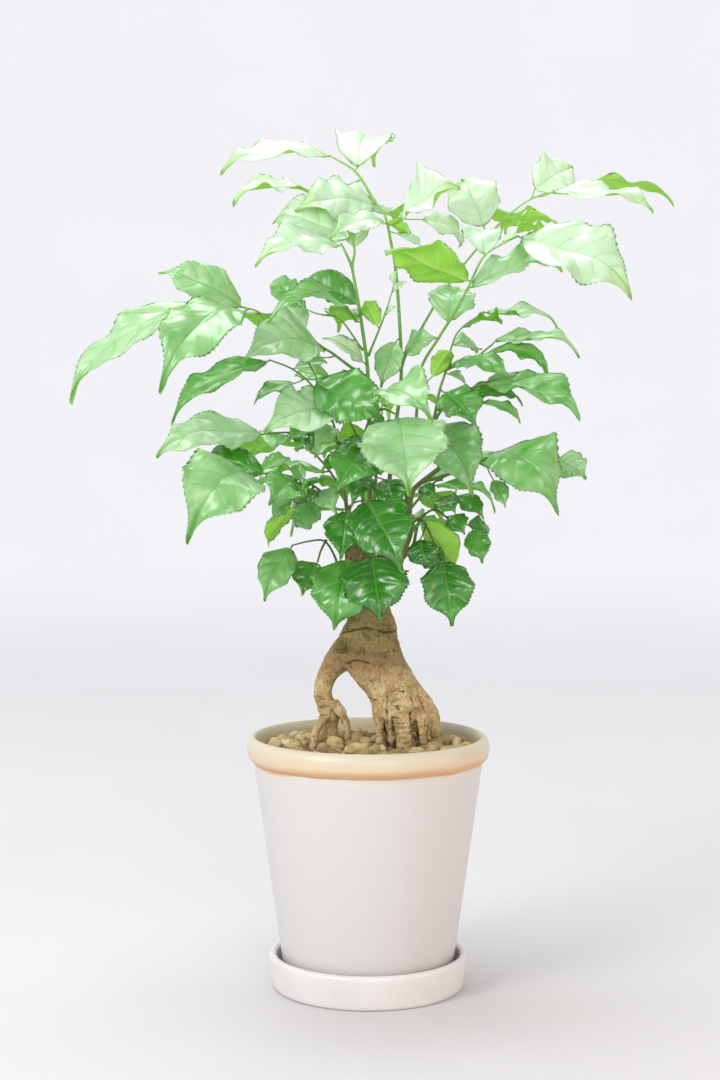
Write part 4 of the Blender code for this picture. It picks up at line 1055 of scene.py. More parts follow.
def blade(leaf, age):
    """A leaf's fine blade: toothed, quilted between sunken veins, ribbed beneath, with a drip tip."""
    draw = random.Random(1000 + leaf.number)
    size = leaf.width / 40
    pairs = vein_pairs(leaf.width)
    columns = half_columns(leaf.width)
    c, stand = tooth_rows(pairs, 4 if leaf.width >= 22 else 2, draw)
    s = np.array([-share for share in reversed(columns)] + [0.0] + columns)[None, :]
    t = c + (VEIN_SWEEP[0] * abs(s) + VEIN_SWEEP[1] * s * s) * (1 - np.exp(-c / 0.05)) * (1 - c**3)
    half = lobed_half_width(leaf, t, s, draw)
    rise = blade_rise(leaf, t, s, half, draw)

    # the margin's teeth point a little forward
    margin = np.abs(s) > 0.999
    reach = s * (1 + np.where(margin, TOOTH_FINE * stand, 0))
    ahead = np.where(margin & (stand > 0), TOOTH_FORWARD, 0.0)
    base, along, side, up = (np.array(v) for v in (leaf.base, leaf.along, leaf.side, leaf.up))
    plain = (
        base
        + along * ((t + ahead) * leaf.length)[..., None]
        + side * (half * reach)[..., None]
        + up * rise[..., None]
    )
    normal = np.cross(np.gradient(plain, axis=1), np.gradient(plain, axis=0))
    normal /= np.linalg.norm(normal, axis=2, keepdims=True) + 1e-12

    # above, pillows and a groove over the midrib; beneath, the blade's thickness and its ribs
    veined = c / VEINED_SHARE * pairs
    distance = half * np.abs(s)
    inside = np.where(margin, 0.0, 1.0)
    quilt = (QUILT_YOUNG + (QUILT_OLD - QUILT_YOUNG) * age) * MM * min(1, size * 1.1)
    groove = MIDRIB_GROOVE * MM * np.exp(-((distance / (1.1 * MM)) ** 2)) * np.minimum(1, size)
    top = plain + normal * ((quilt * pillows(c, s, veined, pairs, draw) - groove) * inside)[..., None]
    midrib = MIDRIB_DEPTH * MM * min(1, size) * np.exp(-((distance / (0.7 * MM)) ** 2)) * (1 - 0.8 * t)
    rib = SIDE_RIB * MM * min(1, size) * np.exp(-((np.sin(math.pi * veined) / 0.25) ** 2)) * inside
    thick = BLADE_THICKNESS * MM + midrib + rib * np.minimum(1, 4 * (1 - np.abs(s)))
    under = top - normal * (thick * inside)[..., None]

    tip = np.array(leaf.point(1.0, 0.0) - leaf.up * (TIP_CURL * leaf.length))
    points = [np.array(leaf.base), tip, *top.reshape(-1, 3), *under[:, 1:-1].reshape(-1, 3)]
    faces, finish = blade_faces(*top.shape[:2])
    tint = draw.uniform(0, 1)
    grid = np.stack(np.broadcast_arrays(veined, distance / MM, s), axis=2)
    grow = np.stack(np.broadcast_arrays(age, tint, t), axis=2)
    veins = [(0, 0, 0), (pairs, 0, 0), *grid.reshape(-1, 3), *grid[:, 1:-1].reshape(-1, 3)]
    growth = [(age, tint, 0), (age, tint, 1), *grow.reshape(-1, 3), *grow[:, 1:-1].reshape(-1, 3)]
    return points, faces, finish, veins, growth


def petiole(leaf):
    """The small stalk from the stem into the blade, swollen where it leaves the stem."""
    sink = (leaf.base + leaf.along * (0.02 * leaf.length)) - leaf.up * (0.3 * MM)
    middle = leaf.root.lerp(leaf.base, 0.5) - Vector((0, 0, 0.06)) * (leaf.base - leaf.root).length
    size = min(1.0, 0.62 + leaf.width / 110)
    radii = [0.95 * size, 0.62 * size, 0.62 * size, 0.45 * size]
    line, sizes = smooth_line([leaf.root, middle, leaf.base, sink], radii, 1.6 * MM)
    return swept(line, sizes, 8)


def leafy_stem(name, stalks, leaves, age, materials):
    """One leafy stem with its stalks, joints and fine leaves, as one piece."""
    shape = Shape()
    draw = random.Random(name)

    def take_stalk(points, faces):
        """Adds a green tube."""
        shape.take(points, faces, STALK, growth=[(age, 0.5, 0.0)] * len(points))

    for number, (points, radii) in enumerate(stalks):
        slim = [radius * max(STEM_SLIM, 1 - 0.1 * i) for i, radius in enumerate(radii)]
        take_stalk(*swept(*smooth_line(points, slim, 2.5 * MM), 8 if number else 12))
        if number:
            joint = smooth_line([points[0], points[0].lerp(points[1], 0.25)], [radii[0] * 1.35, radii[0]], MM)
            take_stalk(*swept(*joint, 8))
    for leaf in leaves:
        leaf_age = min(1.0, max(0.0, leaf.age + draw.uniform(-0.05, 0.05)))
        shape.take(*blade(leaf, leaf_age))
        take_stalk(*petiole(leaf))
    return new_piece(name + "_leaves", shape.mesh(name), materials, [name])


# The trunk


def gap_to(x, z, line):
    """How far the place (x, z) is from a line through points (x, z), in millimetres."""
    best = math.inf
    for (x0, z0), (x1, z1) in zip(line, line[1:]):
        run_x, run_z = x1 - x0, z1 - z0
        share = ((x - x0) * run_x + (z - z0) * run_z) / (run_x * run_x + run_z * run_z)
        share = min(1, max(0, share))
        best = min(best, math.hypot(x - x0 - run_x * share, z - z0 - run_z * share))
    return best


def crease_depth(x, z):
    """How deep the creases cut at this place of the bark's front, in millimetres."""
    depth = 0.0
    for width, cut, line in CREASES:
        low, high = min(p[1] for p in line) - 3 * width, max(p[1] for p in line) + 3 * width
        if low < z < high:
            depth = max(depth, cut * math.exp(-((gap_to(x, z, line) / width) ** 2)))
    return depth


def remeshed(points, faces):
    """The trunk's closed tubes and lumps as one skin of even small faces."""
    mesh = bpy.data.meshes.new("rough")
    mesh.from_pydata(points, [], faces)
    rough = bpy.data.objects.new("rough", mesh)
    bpy.context.scene.collection.objects.link(rough)
    skin = rough.modifiers.new("skin", "REMESH")
    skin.mode = "VOXEL"
    skin.voxel_size = BARK_VOXEL * MM
    soften = rough.modifiers.new("soften", "SMOOTH")
    soften.factor = 0.5
    soften.iterations = BARK_SMOOTHINGS
    graph = bpy.context.evaluated_depsgraph_get()
    made = bpy.data.meshes.new_from_object(rough.evaluated_get(graph))
    bpy.data.objects.remove(rough)
    return made


def bark_relief(x, y, z, front):
    """How far the bark rises here in millimetres, how much painted shade it gets in its hollows and how rusty
    it is, from 0 to 1.
    """
    foot = max(0.0, min(1.0, (222 - z) / 6))
    wood = max(0.12, min(1.0, (318 - z) / 40))
    lump = noise.noise(Vector((x / 15, y / 15, z / 15)))
    swell = noise.noise(Vector((x / 6, y / 6, z / 7)) + Vector((5, 1, 8)))
    fibre = noise.noise(Vector((x / 1.9, y / 1.9, z / 9)) + Vector((3, 9, 4)))
    wrinkle = noise.noise(Vector((x / 9, y / 9, z / 1.7)) + Vector((7, 2, 5)))
    cork = noise.noise(Vector((x, y, z)) / 2.0)
    cut = crease_depth(x, z) * front
    rise = 0.6 * lump + (0.5 + 0.2 * foot) * swell + 0.3 * fibre + (0.2 + 0.4 * foot) * wrinkle + 0.3 * cork
    # painted shade: the bark darkens where it lies low between swells, fibres and wrinkles and in the creases
    hollow_shade = 0.30 - 0.35 * swell - 0.22 * fibre - (0.12 + 0.45 * foot) * wrinkle + 0.5 * cut
    rust = math.exp(-((gap_to(x, z, CROTCH) / 7) ** 2)) * front
    return rise * wood - cut, min(1.0, max(0.0, hollow_shade)), rust


def trunk(materials):
    """The swollen trunk, its leg, roots and woody limbs: one skin of corky bark with scars and creases."""
    points, faces = [], []

    def put(line, sides=16, down=None):
        """A limb as a tube, which goes straight down to this height if it is given."""
        places = [Vector(p[:3]) * MM for p in line]
        radii = [p[3] for p in line]
        if down is not None:
            places.append(Vector((places[-1].x, places[-1].y, down * MM)))
            radii.append(radii[-1])
        path, sizes = smooth_line(places, radii, 3 * MM)
        made, closed = swept(path, sizes, sides)
        start = len(points)
        points.extend(made)
        faces.extend(tuple(start + k for k in face) for face in closed)

    put(TRUNK, 24)
    for root in [LEFT_LEG, *ROOTS]:
        put(root, down=SOIL_TOP + 1)
    for root in FINE_ROOTS:
        put(root, 12)
    for x, y, z, radius in KNOBS + FINE_KNOBS:
        under = (x, y, z - radius * 0.8, radius * 0.55)
        over = (x, y, z + radius * 0.8, radius * 0.55)
        put([under, (x, y, z, radius), over])
    for limb in LIMBS:
        put(limb, 12)
    for stem in STEMS.values():
        inside, seat = (on_sight_line(p) for p in stem["seat"])
        radius = stem["stalks"][0][0]
        put([(*(inside / MM), radius * 1.3), (*(seat / MM), radius * 1.15)], 10)
    mesh = remeshed(points, faces)

    count = len(mesh.vertices)
    places = np.empty(count * 3)
    normals = np.empty(count * 3)
    mesh.vertices.foreach_get("co", places)
    mesh.vertices.foreach_get("normal", normals)
    places, normals = places.reshape(-1, 3), normals.reshape(-1, 3)
    tone = np.zeros((count, 3))
    for i in range(count):
        front = max(0.0, min(1.0, 0.5 - 1.4 * normals[i][1]))
        rise, tone[i][0], tone[i][1] = bark_relief(*(places[i] / MM), front)
        places[i] += normals[i] * (rise * MM)
    mesh.vertices.foreach_set("co", places.ravel())
    mesh.attributes.new("tone", "FLOAT_VECTOR", "POINT").data.foreach_set("vector", tone.ravel())
    mesh.shade_smooth()
    mesh.name = "trunk_bark"
    return new_piece("trunk_bark", mesh, materials, ["trunk"])


# Pot and saucer


def turned(name, profile, materials, nodes, wobble):
    """A profile of (radius, height) in millimetres turned about the pot's axis, a little out of round."""
    ring = [(r, z) for r, z in profile if r > 0]
    points, faces = [], []
    for k in range(TURN_STEPS):
        turn = math.tau * k / TURN_STEPS
        oval, lobed = math.sin(2 * turn + 0.7), math.sin(3 * turn + 2.1)
        out = 1 - wobble * (0.5 + 0.5 * oval) - wobble * 0.4 * (1 + lobed)
        points += [(r * out * math.cos(turn) * MM, r * out * math.sin(turn) * MM, z * MM) for r, z in ring]
    high = len(ring)
    closed = len(ring) == len(profile)
    for k in range(TURN_STEPS):
        a, b = k * high, (k + 1) % TURN_STEPS * high
        for i in range(high if closed else high - 1):
            j = (i + 1) % high
            faces.append((a + i, a + j, b + j, b + i))
    if not closed:
        for row, (r, z), flip in ((0, profile[0], False), (high - 1, profile[-1], True)):
            middle = len(points)
            points.append((0, 0, z * MM))
            for k in range(TURN_STEPS):
                a, b = k * high + row, (k + 1) % TURN_STEPS * high + row
                faces.append((b, a, middle) if flip else (a, b, middle))
    mesh = bpy.data.meshes.new(name)
    mesh.from_pydata(points, [], faces)
    mesh.shade_smooth()
    mesh.set_sharp_from_angle(angle=math.radians(50))
    return new_piece(name, mesh, materials, nodes)


def arc(centre, radii, start, end, steps):
    """Points along an ellipse's arc, as (radius, height)."""
    angles = [math.radians(start + (end - start) * i / steps) for i in range(steps + 1)]
    return [(centre[0] + radii[0] * math.cos(a), centre[1] + radii[1] * math.sin(a)) for a in angles]


def between(a, b, steps):
    """Points on the straight line from a to b without b."""
    return [(a[0] + (b[0] - a[0]) * i / steps, a[1] + (b[1] - a[1]) * i / steps) for i in range(steps)]


def pot_profile():
    """The pot's outer side down, under its foot, and up its inner side."""
    foot_radius, foot_height = FOOT
    ring = foot_radius - FOOT_RING_WIDTH
    recess = foot_height + FOOT_RECESS
    return [
        *arc(RIM_CENTRE, RIM_BULGE, 90, -74, 20),
        (BODY_TOP[0] - 0.25, BODY_TOP[1] + 0.8),
        *between(BODY_TOP, (foot_radius + 0.3, foot_height + 1.5), 24),
        (foot_radius + 0.3, foot_height + 1.5),
        (foot_radius, foot_height + 0.6),
        (foot_radius - 0.8, foot_height),
        (ring, foot_height),
        (ring - 0.6, foot_height + 0.7),
        (ring - 1.5, recess),
        (DRAIN_RADIUS + 1, recess),
        (DRAIN_RADIUS, recess + 1),
        (DRAIN_RADIUS, FLOOR[1] - 1),
        (DRAIN_RADIUS + 1, FLOOR[1]),
        FLOOR,
        (FLOOR[0] + 1.8, FLOOR[1] + 0.7),
        *between((FLOOR[0] + 2.5, FLOOR[1] + 2.5), INNER_SHOULDER, 10),
        *between(INNER_SHOULDER, MOUTH, 5),
        *arc(RIM_CENTRE, (2.5, RIM_BULGE[1]), 178, 95, 8),
    ]


def saucer_profile():
    """The saucer from the middle of its top, over its rim, to the middle of its foot."""
    rim = arc(SAUCER_RIM, (SAUCER_RIM_ROUND, SAUCER_RIM_ROUND), 180, 0, 14)
    floor_radius, floor_height = SAUCER_FLOOR
    corner = arc((floor_radius, floor_height + 3), (3, 3), 270, 345, 4)
    return [
        *[(r, floor_height) for r in (6, 20, 40, 55)],
        *corner,
        *between((corner[-1][0] + 0.2, corner[-1][1] + 1.5), rim[0], 5),
        *rim,
        *between((rim[-1][0] - 0.1, rim[-1][1] - 2), (SAUCER_FOOT_RADIUS + 1.2, 2.5), 6),
        (SAUCER_FOOT_RADIUS + 1.2, 2.5),
        (SAUCER_FOOT_RADIUS + 0.6, 0.8),
        (SAUCER_FOOT_RADIUS - 1, 0),
        (SAUCER_FOOT_RADIUS - 20, 0),
        (6, 0),
    ]


# Gravel


def roots_in_gravel():
    """Every place where a root goes down into the gravel, as (x, y, radius) in millimetres."""
    ends = [root[-1] for root in ROOTS] + [LEFT_LEG[-1]]
    return [(x, y, radius) for x, y, _, radius in ends]


def pebble(place, size, draw):
    """Points and faces of a river pebble with these half-sizes: a worn lump with a few flat sides."""
    shape = bmesh.new()
    bmesh.ops.create_icosphere(shape, subdivisions=3, radius=1.0)
    shift = Vector([draw.uniform(-50, 50) for _ in range(3)])
    flats = []
    for _ in range(PEBBLE_FLATS):
        towards = Vector([draw.gauss(0, 1) for _ in range(3)]).normalized()
        flats.append((towards, draw.uniform(0.60, 0.86)))
    turn = Matrix.Rotation(draw.uniform(0, math.tau), 3, "Z")
    tilt = Matrix.Rotation(draw.uniform(-0.3, 0.3), 3, "X")
    points = []
    for vertex in shape.verts:
        spot = vertex.co.normalized()
        spot = spot * (1 + 0.16 * noise.noise(spot * 1.1 + shift) + 0.05 * noise.noise(spot * 3 + shift))
        for towards, depth in flats:
            over = spot.dot(towards) - depth
            if over > 0:
                spot = spot - towards * over * 0.92
        points.append(place + (turn @ tilt @ (spot * size)) * MM)
    faces = [tuple(v.index for v in face.verts) for face in shape.faces]
    shape.free()
    return points, faces


def gravel_bed():
    """The bed of small grit under the pebbles, as a closed form: an uneven top over a flat bottom."""
    points = []
    for i in range(BED_RINGS + 1):
        for x, y in ring(BED_RADIUS * (i + 0.3) / (BED_RINGS + 0.3), BED_SPOKES):
            coarse, fine = noise.noise(Vector((x, y, 3)) / 6.0), noise.noise(Vector((x, y, 8)) / 2.2)
            points.append(Vector((x, y, BED_TOP + 1.6 * coarse + 0.8 * fine)) * MM)
    start = len(points)
    points += [Vector((x, y, BED_BOTTOM)) * MM for x, y in ring(BED_RADIUS, BED_SPOKES)]
    faces = [(a, d, c, b) for a, b, c, d in bands(BED_RINGS + 2, BED_SPOKES)]
    faces.append(tuple(range(start, start + BED_SPOKES)))
    faces.append(tuple(reversed(range(BED_SPOKES))))
    return points, faces


def pebble_place(draw, roots, taken):
    """A pebble's half-sizes and place in millimetres, clear of the roots and of those taken, or None."""
    for _ in range(PEBBLE_TRIES):
        size = Vector([draw.uniform(*span) for span in PEBBLE_SIZES])
        if draw.random() < SMALL_PEBBLES:
            size = size * SMALL_SIZE
        away = (BED_RADIUS - size.x * 0.8) * math.sqrt(draw.random())
        turn = draw.uniform(0, math.tau)
        x, y = away * math.cos(turn), away * math.sin(turn)
        if any(math.hypot(x - px, y - py) < radius + size.y for px, py, radius in roots):
            continue
        if any(math.hypot(x - px, y - py) < (radius + size.y) * 0.86 for px, py, radius in taken):
            continue
        return size, x, y, away
    return None


def gravel(materials):
    """A bed of small grit with worn pebbles lying on it, packed against the roots and the pot."""
    draw = random.Random(11)
    shape = Shape()
    shape.take(*gravel_bed(), GRIT)
    roots = roots_in_gravel()
    for layer, (count, lift) in enumerate(PEBBLE_LAYERS):
        taken = []
        for _ in range(count):
            found = pebble_place(draw, roots, taken)
            if found is None:
                continue
            size, x, y, away = found
            # only the lowest pebbles keep clear of one another; those above lie over and between them
            if layer == 0:
                taken.append((x, y, size.y))
            ground = GRAVEL_CENTRE_TOP + (GRAVEL_EDGE_TOP - GRAVEL_CENTRE_TOP) * away / BED_RADIUS
            points, faces = pebble(Vector((x, y, ground + lift)) * MM, size, draw)
            shape.take(points, faces, PEBBLE, growth=[(draw.random(), draw.random(), 0.0)] * len(points))
    return new_piece("gravel_stones", shape.mesh("gravel_stones"), materials, ["gravel"])


# Finishes


def vein_share(tree, side_vein, midrib, most):
    """How much of the veins' colour shows: at side veins, where the pair number is whole, and at the midrib.

    side_vein is half its width as a share of the gap between two pairs. midrib is where its edge starts and
    ends to fade, in millimetres from the middle.
    """
    veins = add(tree, "Attribute", attribute_name="veins")
    pair, across, _ = add(tree, "SeparateXYZ", {0: veins.outputs["Vector"]}).outputs
    beat = add(tree, "Math", {0: pair, 1: 0.5}, operation="PINGPONG")
    beside = add(tree, "MapRange", {0: beat.outputs[0], 1: 0.0, 2: side_vein, 3: 1.0, 4: 0.0}, **EASED)
    middle = add(tree, "MapRange", {0: across, 1: midrib[0], 2: midrib[1], 3: 1.0, 4: 0.0}, **EASED)
    line = add(tree, "Math", {0: beside.outputs[0], 1: middle.outputs[0]}, operation="MAXIMUM")
    return add(tree, "Math", {0: line.outputs[0], 1: most}, operation="MULTIPLY").outputs[0]


def leaf_upper():
    """Living leaf, upper side: softly glossy waxy skin, pale veins, cells that light comes through, and a
    painted white sheen in its paler greens.
    """
    made, tree = new_material("waxy_leaf_upper_side")
    growth = add(tree, "Attribute", attribute_name="growth")
    age, tint, along = add(tree, "SeparateXYZ", {0: growth.outputs["Vector"]}).outputs
    place = add(tree, "TexCoord").outputs["Object"]

    # older leaves are deeper green; the pale end of the ramp is a painted white sheen, and a slow mottle keeps
    # each blade from being one flat green
    mottle = add(tree, "TexNoise", {"Vector": place, "Scale": 1 / (14 * MM), "Detail": 3.0})
    shift = add(tree, "MapRange", {0: mottle.outputs["Fac"], 1: 0.3, 2: 0.7, 3: -0.10, 4: 0.10})
    tinted = add(tree, "MapRange", {0: tint, 3: -0.08, 4: 0.08})
    mottled = add(tree, "Math", {0: age, 1: shift.outputs[0]}, operation="ADD")
    sum_up = add(tree, "Math", {0: mottled.outputs[0], 1: tinted.outputs[0]}, operation="ADD", use_clamp=True)
    age_and_light = sum_up.outputs[0]
    green = colour_steps(
        add(tree, "ValToRGB", {0: age_and_light}),
        [(0.0, "#DDF2DC"), (0.25, "#C6E4C1"), (0.5, "#9FD08F"), (0.75, "#5CA843"), (1.0, "#35831F")],
    )

    # young tips are lime, and veins about 1 mm wide, wider than real ones so that they show, are paler
    near_tip = add(tree, "MapRange", {0: along, 1: 0.72, 2: 1.0, 3: 0.0, 4: 0.75}, **EASED)
    young = add(tree, "MapRange", {0: age, 1: 0.15, 2: 0.5, 3: 1.0, 4: 0.0})
    limed = add(tree, "Math", {0: near_tip.outputs[0], 1: young.outputs[0]}, operation="MULTIPLY")
    tipped = add(tree, "Mix", {0: limed.outputs[0], 6: green.outputs[0], 7: linear("#BDE584")}, **IN_COLOUR)
    vein_green = colour_steps(
        add(tree, "ValToRGB", {0: age_and_light}),
        [(0.0, "#B6DCA8"), (0.5, "#79B862"), (0.75, "#74B85A"), (1.0, "#6CB450")],
    )
    veined = vein_share(tree, 0.10, (0.3, 0.9), 0.65)
    colour = add(tree, "Mix", {0: veined, 6: tipped.outputs[2], 7: vein_green.outputs[0]}, **IN_COLOUR)

    # the net of fine veins, with cells about 1.6 mm wide
    net = add(tree, "TexVoronoi", {"Vector": place, "Scale": 1 / (1.6 * MM)}, feature="DISTANCE_TO_EDGE")
    cells = add(tree, "MapRange", {0: net.outputs["Distance"], 1: 0.0, 2: 0.25})
    skin = add(tree, "Bump", {"Strength": 0.35, "Distance": 0.12 * MM, "Height": cells.outputs[0]})
    gloss = add(tree, "MapRange", {0: age_and_light, 3: 0.46, 4: 0.20})
    shader = add(
        tree,
        "BsdfPrincipled",
        {
            "Base Color": colour.outputs[2],
            "Roughness": gloss.outputs[0],
            "IOR": 1.55,
            "Specular IOR Level": 0.75,
            "Coat Weight": 0.5,
            "Coat Roughness": 0.2,
            "Normal": skin.outputs[0],
        },
    )
    lit = add(tree, "ValToRGB", {0: age_and_light})
    colour_steps(lit, [(0.0, "#CFEFA0"), (0.5, "#9FDA50"), (1.0, "#57AA24")])
    through = add(tree, "BsdfTranslucent", {"Color": lit.outputs[0], "Normal": skin.outputs[0]})
    return finished(made, add(tree, "MixShader", {0: 0.28, 1: shader.outputs[0], 2: through.outputs[0]}))


def leaf_underside():
    """Living leaf, underside: dull, paler and yellower than the top, and lime where light comes through."""
    made, tree = new_material("matt_leaf_underside")
    growth = add(tree, "Attribute", attribute_name="growth")
    age = add(tree, "SeparateXYZ", {0: growth.outputs["Vector"]}).outputs[0]
    place = add(tree, "TexCoord").outputs["Object"]
    green = colour_steps(
        add(tree, "ValToRGB", {0: age}),
        [(0.0, "#B9E86B"), (0.3, "#9BDA55"), (0.65, "#79BE4A"), (1.0, "#5B9F45")],
    )
    veined = vein_share(tree, 0.09, (0.4, 1.0), 0.6)
    colour = add(tree, "Mix", {0: veined, 6: green.outputs[0], 7: linear("#D3EFA0")}, **IN_COLOUR)
    net = add(tree, "TexVoronoi", {"Vector": place, "Scale": 1 / (1.6 * MM)}, feature="DISTANCE_TO_EDGE")
    skin = add(tree, "Bump", {"Strength": 0.3, "Distance": 0.1 * MM, "Height": net.outputs["Distance"]})
    shader = add(
        tree,
        "BsdfPrincipled",
        {"Base Color": colour.outputs[2], "Roughness": 0.55, "IOR": 1.45, "Normal": skin.outputs[0]},
    )
    through = add(tree, "BsdfTranslucent", {"Color": linear("#B6E84A"), "Normal": skin.outputs[0]})
    return finished(made, add(tree, "MixShader", {0: 0.42, 1: shader.outputs[0], 2: through.outputs[0]}))


def green_stalk():
    """Young stem: smooth green skin with a slight sheen, going olive brown towards the older wood."""
    made, tree = new_material("smooth_green_stalk")
    place = add(tree, "TexCoord").outputs["Object"]
    height = add(tree, "SeparateXYZ", {0: place}).outputs[2]
    aged = add(tree, "MapRange", {0: height, 1: 310 * MM, 2: 560 * MM})
    fleck = add(tree, "TexNoise", {"Vector": place, "Scale": 1 / (3 * MM), "Detail": 4.0})
    mixed = add(tree, "MapRange", {0: fleck.outputs["Fac"], 1: 0.3, 2: 0.7, 3: -0.12, 4: 0.12})
    step = add(tree, "Math", {0: aged.outputs[0], 1: mixed.outputs[0]}, operation="ADD", use_clamp=True)
    colour = colour_steps(
        add(tree, "ValToRGB", {0: step.outputs[0]}),
        [(0.0, "#676339"), (0.35, "#587A33"), (0.7, "#67993F"), (1.0, "#8CBF5C")],
    )
    skin = add(tree, "Bump", {"Strength": 0.3, "Distance": 0.15 * MM, "Height": fleck.outputs["Fac"]})
    shader = add(
        tree,
        "BsdfPrincipled",
        {"Base Color": colour.outputs[0], "Roughness": 0.42, "IOR": 1.45, "Normal": skin.outputs[0]},
    )
    return finished(made, shader)


def corky_bark():
    """Corky bark: dull tan with fine fibres and pits, painted shade in its creases, rusty at the fork, and
    dark olive above, partly algae and partly painted shade under the crown.
    """
    made, tree = new_material("corky_tan_bark")
    tone = add(tree, "Attribute", attribute_name="tone")
    hollow_shade, rust, _ = add(tree, "SeparateXYZ", {0: tone.outputs["Vector"]}).outputs
    place = add(tree, "TexCoord").outputs["Object"]
    height = add(tree, "SeparateXYZ", {0: place}).outputs[2]

    # tan in patches about 13 mm wide, then dark olive higher up, partly a film of algae and partly painted
    # shade under the crown, rust, and painted shade, dark brown, in the hollows
    patch = add(tree, "TexNoise", {"Vector": place, "Scale": 1 / (13 * MM), "Detail": 4.0, "Roughness": 0.6})
    tan = colour_steps(
        add(tree, "ValToRGB", {0: patch.outputs["Fac"]}),
        [(0.28, "#9E8753"), (0.44, "#C2A874"), (0.58, "#D8C092"), (0.74, "#B39A63")],
    )
    up = add(tree, "MapRange", {0: height, 1: 220 * MM, 2: 256 * MM}, **EASED)
    algae_and_shade = add(tree, "MapRange", {0: patch.outputs["Fac"], 1: 0.42, 2: 0.60, 3: 0.55, 4: 1.0})
    mossy_and_shaded = add(tree, "Math", {0: up.outputs[0], 1: algae_and_shade.outputs[0]}, operation="MULTIPLY")
    green = add(tree, "Mix", {0: mossy_and_shaded.outputs[0], 6: tan.outputs[0], 7: linear("#6E6430")}, **IN_COLOUR)
    rusty = add(tree, "Math", {0: rust, 1: 0.55}, operation="MULTIPLY")
    warm = add(tree, "Mix", {0: rusty.outputs[0], 6: green.outputs[2], 7: linear("#9A6B45")}, **IN_COLOUR)
    # painted shade: the hollows turn dark brown
    dark = add(tree, "MapRange", {0: hollow_shade, 1: 0.42, 2: 1.0, 3: 0.0, 4: 0.85}, **EASED)
    shaded = add(tree, "Mix", {0: dark.outputs[0], 6: warm.outputs[2], 7: linear("#513A20")}, **IN_COLOUR)

    # fibres and cork grains are drawn about 1.5 and 2.4 mm wide, coarser than real ones, so that they show
    drawn = add(tree, "Mapping", {0: place, "Scale": (1.0, 1.0, 0.6)})
    fibre = {"Vector": drawn.outputs[0], "Scale": 1 / (1.5 * MM), "Detail": 4.0, "Roughness": 0.65}
    fibres = add(tree, "TexNoise", fibre)
    cork = {"Vector": place, "Scale": 1 / (2.4 * MM), "Detail": 6.0, "Roughness": 0.75}
    grain = add(tree, "TexNoise", cork)
    both = add(tree, "Math", {0: fibres.outputs["Fac"], 1: grain.outputs["Fac"]}, operation="ADD")
    # pits about 1 mm wide and 4 mm apart
    pits = add(tree, "TexVoronoi", {"Vector": place, "Scale": 1 / (4 * MM)})
    pit = add(tree, "MapRange", {0: pits.outputs["Distance"], 1: 0.06, 2: 0.20, 3: -0.35, 4: 0.0})
    rough = add(tree, "Math", {0: both.outputs[0], 1: pit.outputs[0]}, operation="ADD")
    speck = add(tree, "MapRange", {0: rough.outputs[0], 1: 0.70, 2: 1.25, 3: 0.48, 4: 1.36})
    colour = add(
        tree, "Mix", {0: 1.0, 6: shaded.outputs[2], 7: speck.outputs[0]}, blend_type="MULTIPLY", **IN_COLOUR
    )
    skin = add(tree, "Bump", {"Strength": 1.0, "Distance": 1.4 * MM, "Height": rough.outputs[0]})
    finish = {"Base Color": colour.outputs[2], "Roughness": 0.88, "Normal": skin.outputs[0]}
    return finished(made, add(tree, "BsdfPrincipled", finish))


def under_glaze(made, place, colour, roughness):
    """Ends a glazed material: this colour under a clear skin with soft ripples about 9 mm wide."""
    tree = made.node_tree
    ripple = add(tree, "TexNoise", {"Vector": place, "Scale": 1 / (9 * MM), "Detail": 2.0})
    skin = add(tree, "Bump", {"Strength": 0.25, "Distance": 0.3 * MM, "Height": ripple.outputs["Fac"]})
    finish = {"Base Color": colour, "Roughness": roughness, "IOR": 1.5, "Normal": skin.outputs[0]}
    return finished(made, add(tree, "BsdfPrincipled", finish))


def pot_glaze():
    """Glazed earthenware: satin white, with a cream rim that turns orange at its lower edge, partly the
    glaze's own tint and partly painted shade at the joint under the rim.
    """
    made, tree = new_material("satin_white_and_cream_glaze")
    place = add(tree, "TexCoord").outputs["Object"]
    height = add(tree, "SeparateXYZ", {0: place}).outputs[2]
    drift = add(tree, "TexNoise", {"Vector": place, "Scale": 1 / (45 * MM), "Detail": 2.0})
    wander = add(tree, "MapRange", {0: drift.outputs["Fac"], 1: 0.3, 2: 0.7, 3: -1.6 * MM, 4: 1.6 * MM})
    level = add(tree, "Math", {0: height, 1: wander.outputs[0]}, operation="ADD")
    band = add(tree, "MapRange", {0: level.outputs[0], 1: 160 * MM, 2: 190 * MM})
    # painted shade: the orange stops at the rim's lower edge also stand for the shade at the joint under the
    # rim
    colour = colour_steps(
        add(tree, "ValToRGB", {0: band.outputs[0]}),
        [
            (0.0, "#CECCCB"),
            (0.24, "#D2CCC6"),
            (0.31, "#CDA579"),
            (0.38, "#CC9E70"),
            (0.52, "#D6C1A2"),
            (0.68, "#CFC4AD"),
            (1.0, "#D3CAB6"),
        ],
    )
    # pinholes in the glaze, about 1 mm wide and 12 mm apart
    pins = add(tree, "TexVoronoi", {"Vector": place, "Scale": 1 / (12 * MM)})
    pin = add(tree, "MapRange", {0: pins.outputs["Distance"], 1: 0.03, 2: 0.06, 3: 1.0, 4: 0.0})
    marked = add(tree, "Math", {0: pin.outputs[0], 1: 0.25}, operation="MULTIPLY")
    spot = {0: marked.outputs[0], 6: colour.outputs[0], 7: linear("#B9B2A6")}
    spotted = add(tree, "Mix", spot, **IN_COLOUR)
    return under_glaze(made, place, spotted.outputs[2], 0.34)


